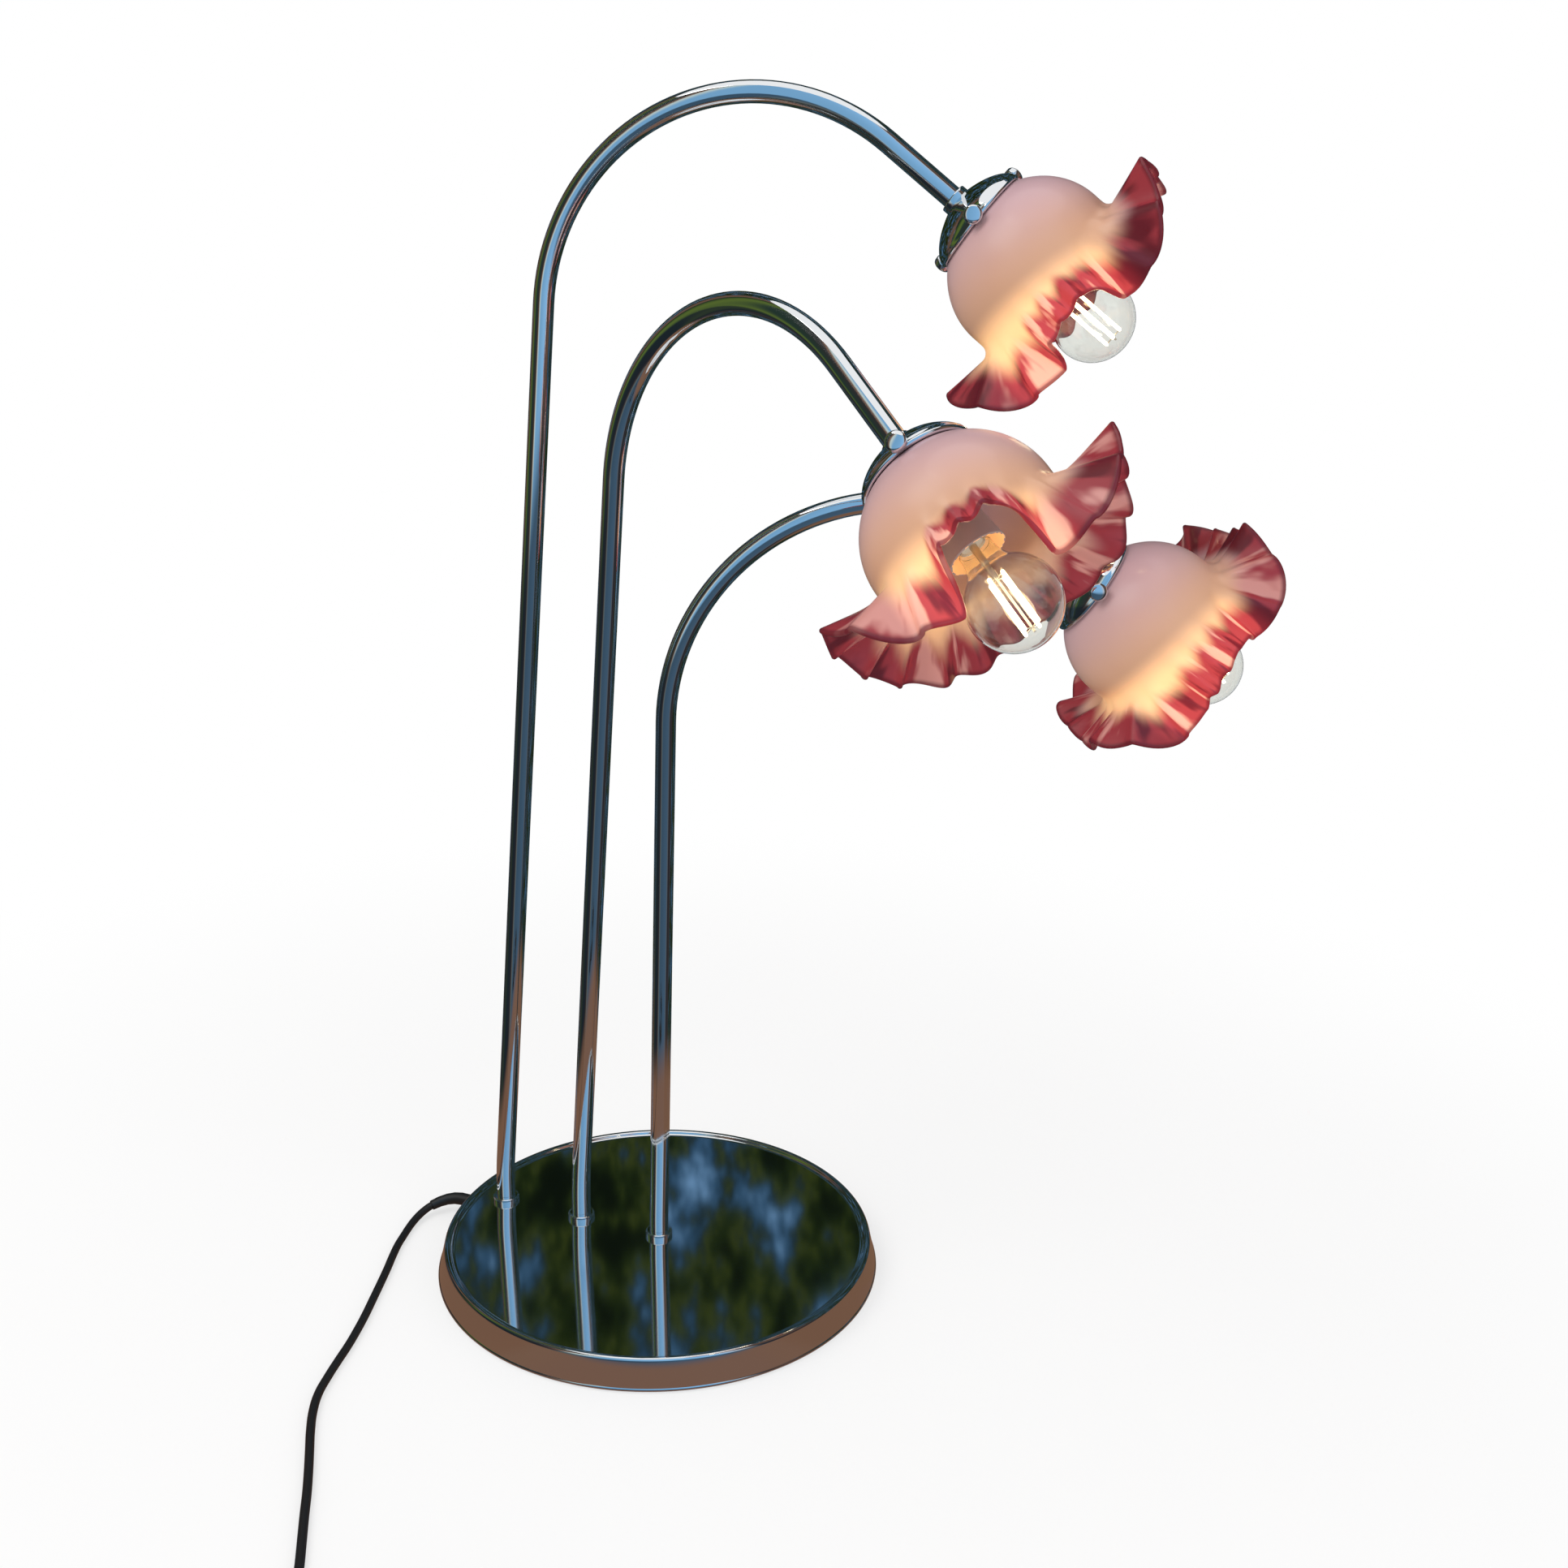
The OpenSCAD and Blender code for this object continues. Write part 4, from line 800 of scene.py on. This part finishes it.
class LAMP_OT_bulbs(bpy.types.Operator):
    """Clear golf-ball bulbs with screw caps and glowing sticks"""

    bl_idname = "lamp.bulbs"
    bl_label = "Bulbs"

    def execute(self, context):
        size = context.scene.lamp_bulbs
        colours = context.scene.lamp_colours
        clear = plain_finish("clear_bulb_glass", (0.88, 0.89, 0.86), 0.0, sockets={
            "Transmission Weight": 1.0, "IOR": 1.45})
        brass = plain_finish("cap_plate", (0.62, 0.60, 0.55), 0.28, 1.0)
        glowing = plain_finish("glowing_sticks", (1, 0.9, 0.7), 0.5, sockets={
            "Emission Color": colours.filament,
            "Emission Strength": colours.filament_strength})
        wire = plain_finish("filament_wires", (0.55, 0.5, 0.45), 0.3, 1.0)
        cap_from = size.ball_at + size.ball - size.overall
        cap_to = cap_from + size.cap_length
        outer = self.glass_profile(size, cap_to, 0)
        inner = self.glass_profile(size, cap_to, size.glass)
        thread = self.thread_profile(size, cap_from, cap_to)
        for name, seat in heads(context):
            body = f"{name}_bulb"
            add_piece(f"{name}_clear_bulb", body,
                      [revolved(np.concatenate([outer, inner[::-1]]), seat, 96)],
                      clear, [f"{name}_bulb_glass"], crease=50)
            add_piece(f"{name}_screw_cap", body, [revolved(thread, seat, 64)], brass,
                      [f"{name}_bulb_cap"], crease=60)
            sticks, wires = self.filament(size, seat, cap_to)
            add_piece(f"{name}_sticks", body, sticks, glowing,
                      [f"{name}_bulb_filament"])
            add_piece(f"{name}_stick_wires", body, wires, wire)
        return {"FINISHED"}

    @staticmethod
    def glass_profile(size, cap_to, inset):
        """From the cap up the neck, along a quadratic curve into the ball, and over the
        ball as (r sin b, centre - r cos b) to the tip."""
        sine, cosine = math.sin(size.blend), math.cos(size.blend)
        neck, ball = size.neck - inset, size.ball - inset
        in_cap, depth_in_cap = size.cap_radius - 0.0006 - inset, 0.003
        cap_edge, shoulder, neck_from = cap_to + 0.0004, cap_to + 0.0018, cap_to + 0.003
        run = (size.ball * sine - size.neck) / -cosine
        knee = (neck, size.ball_at + size.ball * cosine - run * sine)
        meet = (ball * sine, size.ball_at + ball * cosine)
        first_step = 2
        return np.concatenate([
            [[in_cap, cap_to - depth_in_cap], [in_cap, cap_edge], [neck, shoulder]],
            quadratic((neck, neck_from), knee, meet, 16),
            arc((0, size.ball_at), ball, 90 - math.degrees(size.blend) + first_step, 90, 48)])

    @staticmethod
    def thread_profile(size, cap_from, cap_to):
        """Contact, insulating cone and a rolled thread r - d + d cos(2 pi turns t) up the cap."""
        t = np.linspace(0, 1, 49)
        turns, depth = 5, 0.0005
        wave = size.cap_radius - depth + depth * np.cos(2 * np.pi * turns * t)
        low, high = cap_from + 0.0045, cap_to - 0.003
        contact, tip, cone_to = 0.0028, cap_from + 0.0003, cap_from + 0.0036
        return np.concatenate([
            [[0, tip], [contact, tip], [size.cap_radius, cone_to]],
            np.stack([wave, low + (high - low) * t], -1),
            [[size.cap_radius, cap_to], [0, cap_to]]])

    @staticmethod
    def filament(size, seat, cap_to):
        """Upright sticks on a ring, and the stem and short wires that carry them."""
        origin, x, y, z = seat
        low = size.ball_at - size.stick_length / 2
        high = low + size.stick_length
        r = size.stick_radius
        profile = np.concatenate([
            arc((0, low + r), r, -90, 0, 4), arc((0, high - r), r, 0, 90, 4)])
        profile[[0, -1], 0] = 0
        wire, rod, press, stem_foot = 0.0003, 0.0006, 0.0014, 0.002
        stem_from, rod_to, weld = cap_to - 0.0025, high + 0.0015, 0.0008
        stem = revolved([[0, stem_from], [stem_foot, stem_from], [press, low],
                         [rod, low + stem_foot], [rod, rod_to], [0, rod_to]], seat, 24)
        spoke = [[0, 0], [wire, 0], [wire, size.stick_ring], [0, size.stick_ring]]
        sticks, wires = [], [stem]
        for number in range(size.sticks):
            a = 2 * math.pi * number / size.sticks
            out = math.cos(a) * x + math.sin(a) * y
            aside = math.cos(a) * y - math.sin(a) * x
            sticks.append(revolved(profile, (origin + size.stick_ring * out, x, y, z), 16))
            for height in (low + weld, high - weld):
                wires.append(revolved(spoke, (origin + height * z, z, aside, out), 10))
        return sticks, wires


# Points of the cord's centre line from the bush in the foot to the in-line switch
CORD_ROUTE = (
    (-0.147, 0, 0.0095), (-0.1515, -0.0008, 0.0093), (-0.156, -0.0028, 0.0086),
    (-0.160, -0.006, 0.0076), (-0.1635, -0.0105, 0.0064), (-0.1655, -0.0155, 0.0053),
    (-0.1665, -0.0215, 0.0043), (-0.1665, -0.0285, 0.0034), (-0.1655, -0.036, 0.0028),
    (-0.1635, -0.045, 0.0026), (-0.161, -0.055, 0.0026), (-0.157, -0.067, 0.0026),
    (-0.1515, -0.082, 0.0026), (-0.146, -0.098, 0.0026), (-0.141, -0.113, 0.0026),
    (-0.136, -0.128, 0.0026), (-0.1315, -0.143, 0.0026), (-0.1275, -0.158, 0.0026),
    (-0.124, -0.174, 0.0026), (-0.1205, -0.189, 0.0026), (-0.1165, -0.203, 0.0026),
    (-0.110, -0.217, 0.0026), (-0.1015, -0.231, 0.0026), (-0.092, -0.245, 0.0026),
    (-0.0825, -0.259, 0.0026), (-0.073, -0.2735, 0.0026), (-0.064, -0.288, 0.0026),
    (-0.0545, -0.303, 0.0026), (-0.045, -0.318, 0.0026), (-0.038, -0.3295, 0.0029),
    (-0.0285, -0.3395, 0.0037), (-0.0165, -0.346, 0.005), (-0.003, -0.3475, 0.0065),
    (0.006, -0.3455, 0.0073), (0.012, -0.3432, 0.0075))
SWITCH_AT = np.array([0.012, -0.3432])
SWITCH_TURN = math.radians(21)
SWITCH_LEVEL = 0.0075
PLUG_LEVEL = 0.007


def coil_route(size):
    """From the switch into the coil and out to the plug. The upper layer winds in as
    r = R - p turns, the cord goes down over a quarter turn, and the lower layer winds out
    as r = r0 + p turns, a little more than a diameter apart, and then leaves straight."""
    way = np.array([math.cos(SWITCH_TURN), math.sin(SWITCH_TURN)])
    side = np.array([way[1], -way[0]])
    start = SWITCH_AT + size.switch_length * way
    outer = size.coil_radius - size.diameter / 2
    centre = start + size.switch_lead * way + outer * side
    pitch = size.diameter * 1.01
    lower_pitch = pitch * 1.063
    upper_level, lower_level = 0.0077, 0.0026
    upper_turns, all_turns, fall_turns, steps = 3.0, 6.5, 0.25, 24
    turns = np.arange(int(all_turns * steps) + 1) / steps
    innermost = upper_turns + fall_turns / 2
    r = np.where(turns < innermost, outer - pitch * turns,
                 outer - pitch * innermost + lower_pitch * (turns - innermost))
    fall = np.clip((turns - upper_turns) / fall_turns, 0, 1)
    level = upper_level + (lower_level - upper_level) * fall * fall * (3 - 2 * fall)
    a = 2 * np.pi * turns
    flat = centre + r[:, None] * (np.sin(a)[:, None] * way - np.cos(a)[:, None] * side)
    rise = np.array([(0.2, 0.10), (0.4, 0.30), (0.6, 0.60), (0.8, 0.88), (1.0, 1.0)])
    tail = flat[-1] - rise[:, :1] * size.plug_lead * way
    tail_level = lower_level + (PLUG_LEVEL - lower_level) * rise[:, 1]
    lead = start + np.linspace(0, 1, 5)[:-1, None] * size.switch_lead * way
    return np.concatenate([
        np.column_stack([lead, np.linspace(SWITCH_LEVEL, upper_level, 5)[:-1]]),
        np.column_stack([flat, level]), np.column_stack([tail, tail_level])])


def add_cord(context, name, route, replaces):
    """Round cord on one smooth open curve through the points of its route."""
    curve = bpy.data.curves.new(name, "CURVE")
    curve.dimensions = "3D"
    curve.bevel_depth = context.scene.lamp_cord.diameter / 2
    curve.bevel_resolution = 4
    curve.resolution_u = 6
    curve.use_fill_caps = True
    spline = curve.splines.new("BEZIER")
    spline.bezier_points.add(len(route) - 1)
    for point, place in zip(spline.bezier_points, route):
        point.co = place
        point.handle_left_type = point.handle_right_type = "AUTO"
    curve.materials.append(cord_finish(context))
    cord = add_object(name, curve)
    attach(cord, FOOT_BODY)
    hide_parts(*replaces)
    return cord


class LAMP_OT_cord(bpy.types.Operator):
    """Supply cord through an in-line switch to a coil and a plug, and its bush"""

    bl_idname = "lamp.cord"
    bl_label = "Cord"

    def execute(self, context):
        size = context.scene.lamp_cord
        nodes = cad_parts
        for node in ("switch_body", "plug_body"):
            nodes[node].data.materials[0] = cord_finish(context)
        first = add_cord(context, "cord_to_switch", CORD_ROUTE, ["supply_cord"])
        second_route = coil_route(size)
        second = add_cord(context, "cord_to_plug", second_route, ["cord_leads", "cord_coil"])
        self.add_bush(context, size)
        return {"FINISHED"}

    @staticmethod
    def add_bush(context, size):
        """Rubber bush that starts inside the foot's wall and tapers along the cord. Its
        radius falls in a straight line over the relief's length."""
        in_foot = [(-0.124, 0, 0.0095), (-0.136, 0, 0.0095)]
        thick, taper, cord_gap = 0.0041, 0.0010, 0.0001
        route = np.concatenate([in_foot, CORD_ROUTE[:5]])
        directions = np.gradient(route, axis=0)
        directions /= np.linalg.norm(directions, axis=1)[:, None]
        sides = np.cross(directions, (0, 0, 1))
        run = np.concatenate([[0], np.cumsum(np.linalg.norm(np.diff(route, axis=0), axis=1))])
        outside = np.clip((run - run[2]) / size.relief_length, 0, 1)
        outer, inner = thick - taper * outside, size.diameter / 2 + cord_gap
        add_piece("cord_bush", FOOT_BODY, [pipe(route, directions, sides, outer, inner, 32)],
                  cord_finish(context), ["cord_gland"])


class LAMP_OT_fittings(bpy.types.Operator):
    """Finishes of the parts that keep their packed shape"""

    bl_idname = "lamp.fittings"
    bl_label = "Fittings"

    def execute(self, context):
        zinc = plain_finish("zinc_sheet", (0.55, 0.56, 0.58), 0.35, 1.0)
        brass = plain_finish("yellow_brass", (0.72, 0.52, 0.22), 0.25, 1.0)
        sheath = plain_finish("pale_wire_sheath", (0.70, 0.68, 0.62), 0.45)
        fitted = {
            "base_weight": plain_finish("dark_cast_iron", (0.045, 0.045, 0.05), 0.6, 0.6),
            "felt_pad": plain_finish("black_felt", (0.015, 0.015, 0.016), 0.95, sockets={
                "Sheen Weight": 0.3}),
            "terminal_block": plain_finish("white_porcelain", (0.82, 0.81, 0.77), 0.25),
            "plug_pins": plain_finish("nickel_pins", (0.68, 0.67, 0.64), 0.2, 1.0),
            "cord_tie": plain_finish("grey_tie", (0.10, 0.10, 0.11), 0.5),
            "switch_rocker": plain_finish("grey_rocker", (0.04, 0.04, 0.043), 0.35),
            "bottom_cover": zinc, "cover_screws": zinc, "terminal_screws": brass,
            "base_wires": sheath, "inner_cord": cord_finish(context),
        }
        for name in ARMS:
            fitted.update({f"{name}_foot_nipple": brass, f"{name}_foot_nuts": zinc,
                           f"{name}_lead": sheath, f"{name}_head_nipple": brass})
        for node, finish in fitted.items():
            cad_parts[node].data.materials[0] = finish
        return {"FINISHED"}


# ---------- stage ----------


def studio_world():
    """Plain white world, a little dimmer for the light that falls on the lamp."""
    world = bpy.data.worlds.new("studio")
    world.use_nodes = True
    tree = world.node_tree
    rays = add_node(tree, "ShaderNodeLightPath").outputs
    level = add_node(tree, "ShaderNodeMapRange", {
        "Value": rays["Is Diffuse Ray"], "To Min": 1.0, "To Max": 0.72})
    light = tree.nodes["Background"].inputs
    connect(tree, (1, 1, 1), light["Color"])
    connect(tree, level.outputs["Result"], light["Strength"])
    return world


def card_finish():
    """Card that shines in reflections only: sky blue and brown bands in front that darken
    downwards, blotches like leaves behind and plain brown near the foot."""
    material = bpy.data.materials.new("reflection_card")
    material.use_nodes = True
    tree = material.node_tree
    tree.nodes.clear()
    place = add_node(tree, "ShaderNodeTexCoord").outputs["Object"]
    compass = add_node(tree, "ShaderNodeTexGradient", {"Vector": place},
                       gradient_type="RADIAL").outputs["Fac"]
    front = colour_ramp(
        tree, compass,
        (0.0, (0.012, 0.025, 0.018)), (0.045, (0.10, 0.15, 0.03)), (0.08, (0.02, 0.04, 0.03)),
        (0.16, (0.03, 0.03, 0.03)), (0.185, (0.20, 0.11, 0.07)), (0.205, (0.55, 0.66, 0.64)),
        (0.24, (0.20, 0.42, 0.66)), (0.40, (0.26, 0.52, 0.82)), (0.43, (0.50, 0.55, 0.62)),
        (0.455, (0.05, 0.04, 0.04)), (0.50, (0.16, 0.09, 0.06)))
    leaves = add_node(tree, "ShaderNodeTexNoise", {
        "Vector": place, "Scale": 12.0, "Detail": 8.0, "Roughness": 0.7})
    garden = colour_ramp(
        tree, leaves.outputs["Fac"],
        (0.40, (0.004, 0.007, 0.004)), (0.47, (0.012, 0.022, 0.006)), (0.50, (0.05, 0.065, 0.012)),
        (0.52, (0.006, 0.012, 0.010)), (0.56, (0.03, 0.08, 0.15)), (0.68, (0.20, 0.38, 0.62)))
    facing = ramp(tree, compass, (0.50, 1.0), (0.56, 0.0), (0.93, 0.0), (0.99, 1.0))
    height = add_node(tree, "ShaderNodeSeparateXYZ", {"Vector": place}).outputs["Z"]
    dim = ramp(tree, height, (0.28, 0.82), (0.44, 0.0))
    above = colour_mix(tree, dim, front, (0.012, 0.017, 0.025))
    with_sky = colour_mix(tree, facing, garden, above)
    away = add_node(tree, "ShaderNodeVectorMath", {0: place}, operation="LENGTH")
    table = ramp(tree, away.outputs["Value"], (0.24, 0.9), (0.34, 0.0))
    whole = colour_mix(tree, table, with_sky, (0.22, 0.115, 0.07))
    shine = add_node(tree, "ShaderNodeEmission", {"Color": whole}).outputs["Emission"]
    add_node(tree, "ShaderNodeOutputMaterial", {"Surface": shine})
    return material


def add_card(inner, radius, height):
    """Round card (r cos a, r sin a, z) that lies around the foot and stands up further
    out, seen by gloss alone."""
    a = 2 * np.pi * np.arange(96) / 96
    level = 0.0004
    rings = [np.column_stack([r * np.cos(a), r * np.sin(a), 0 * a + z])
             for r, z in ((inner, level), (radius, level), (radius, height))]
    mesh = bpy.data.meshes.new("reflection_card")
    mesh.from_pydata(np.concatenate(rings).tolist(), [], ring_faces(3, 96, False).tolist())
    mesh.materials.append(card_finish())
    card = add_object("reflection_card", mesh)
    for ray in ("camera", "diffuse", "transmission", "volume_scatter", "shadow"):
        setattr(card, f"visible_{ray}", False)


def floor_finish(context):
    """Pale floor that keeps shadows near the lamp and fades to plain white further away."""
    material = plain_finish("pale_floor", context.scene.lamp_colours.floor, 0.9, sockets={
        "Specular IOR Level": 0.0})
    tree = material.node_tree
    place = add_node(tree, "ShaderNodeTexCoord").outputs["Object"]
    far = add_node(tree, "ShaderNodeVectorMath", {0: place}, operation="LENGTH")
    fade = add_node(tree, "ShaderNodeMapRange", {
        "Value": far.outputs["Value"], "From Min": 0.25, "From Max": 0.9, "To Min": 0.6,
        "To Max": 1.0}, interpolation_type="SMOOTHSTEP")
    rays = add_node(tree, "ShaderNodeLightPath").outputs
    shown = rays["Is Camera Ray"]
    for ray in ("Is Transmission Ray", "Is Glossy Ray"):
        shown = add_node(tree, "ShaderNodeMath", {0: shown, 1: rays[ray]}, operation="ADD",
                         use_clamp=True).outputs["Value"]
    part = add_node(tree, "ShaderNodeMath", {0: fade.outputs["Result"], 1: shown},
                    operation="MULTIPLY")
    white = add_node(tree, "ShaderNodeEmission")
    mix = add_node(tree, "ShaderNodeMixShader", {
        "Fac": part.outputs["Value"], 1: tree.nodes["Principled BSDF"].outputs["BSDF"],
        2: white.outputs["Emission"]})
    connect(tree, mix.outputs["Shader"], tree.nodes["Material Output"].inputs["Surface"])
    return material


def add_area_light(name, place, target, size, power, tint):
    """Soft square lamp that shines from its place at a target."""
    lamp = bpy.data.lights.new(name, "AREA")
    lamp.shape = "SQUARE"
    lamp.size = size
    lamp.energy = power
    lamp.color = tint
    light = add_object(name, lamp)
    light.location = place
    light.rotation_euler = (Vector(target) - Vector(place)).to_track_quat("-Z", "Y").to_euler()


class LAMP_OT_stage(bpy.types.Operator):
    """Pale floor, soft studio light and the camera"""

    bl_idname = "lamp.stage"
    bl_label = "Stage"

    def execute(self, context):
        half = 6.0
        corners = [(-half, -half, 0), (half, -half, 0), (half, half, 0), (-half, half, 0)]
        mesh = bpy.data.meshes.new("floor")
        mesh.from_pydata(corners, [], [(0, 1, 2, 3)])
        mesh.materials.append(floor_finish(context))
        add_object("floor", mesh)
        context.scene.world = studio_world()
        add_area_light("key", (-0.9, -1.0, 1.9), (0.1, 0, 0.3), 1.2, 16, (1.0, 0.98, 0.96))
        add_area_light("fill", (1.6, -0.6, 1.0), (0.1, 0, 0.35), 1.4, 7, (0.95, 0.97, 1.0))
        add_card(inner=0.1405, radius=0.80, height=2.0)
        self.add_camera(context)
        context.scene.view_settings.view_transform = "Standard"
        return {"FINISHED"}

    @staticmethod
    def add_camera(context):
        """Camera at its place, facing the target and rolled about its own axis."""
        view = context.scene.lamp_view
        lens = bpy.data.cameras.new("camera")
        lens.sensor_width = 36
        lens.sensor_fit = "HORIZONTAL"
        lens.lens = view.focal
        lens.clip_start = 0.02
        camera = add_object("camera", lens)
        ahead = Vector(view.target) - Vector(view.place)
        facing = ahead.to_track_quat("-Z", "Y").to_matrix() @ Matrix.Rotation(view.roll, 3, "Z")
        camera.matrix_world = Matrix.Translation(view.place) @ facing.to_4x4()
        context.scene.camera = camera


# ---------- registration ----------

GROUPS = {
    "lamp_foot": LampFootSizes, "lamp_tubes": LampTubeSizes, "lamp_tall_arm": LampTallArm,
    "lamp_middle_arm": LampMiddleArm, "lamp_short_arm": LampShortArm,
    "lamp_galleries": LampGallerySizes, "lamp_shades": LampShadeSizes,
    "lamp_bulbs": LampBulbSizes, "lamp_cord": LampCordSizes, "lamp_colours": LampColours,
    "lamp_view": LampView}
OPERATORS = (
    LAMP_OT_foot, LAMP_OT_tubes, LAMP_OT_galleries, LAMP_OT_thumbscrews, LAMP_OT_shades,
    LAMP_OT_lampholders, LAMP_OT_bulbs, LAMP_OT_cord, LAMP_OT_fittings, LAMP_OT_stage)


class LAMP_PT_panel(bpy.types.Panel):
    """Sizes, colours and buttons of the lamp"""

    bl_label = "Tulip Shade Lamp"
    bl_idname = "LAMP_PT_panel"
    bl_space_type = "VIEW_3D"
    bl_region_type = "UI"
    bl_category = "Lamp"

    def draw(self, context):
        for group, kind in GROUPS.items():
            box = self.layout.box()
            box.label(text=group.replace("lamp_", "").replace("_", " ").capitalize())
            for name in kind.__annotations__:
                box.prop(getattr(context.scene, group), name)
        for operator in OPERATORS:
            self.layout.operator(operator.bl_idname)


def register():
    for kind in (*GROUPS.values(), *OPERATORS, LAMP_PT_panel):
        bpy.utils.register_class(kind)
    for name, kind in GROUPS.items():
        setattr(bpy.types.Scene, name, bpy.props.PointerProperty(type=kind))


def unregister():
    for name in GROUPS:
        delattr(bpy.types.Scene, name)
    for kind in (LAMP_PT_panel, *reversed(OPERATORS), *GROUPS.values()):
        bpy.utils.unregister_class(kind)


def main():
    """Builds every piece and writes the sizes of the packed model and of the dressed one."""
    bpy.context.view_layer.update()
    register()
    for operator in OPERATORS:
        group, _, name = operator.bl_idname.partition(".")
        getattr(getattr(bpy.ops, group), name)()


if __name__ == "__main__":
    main()
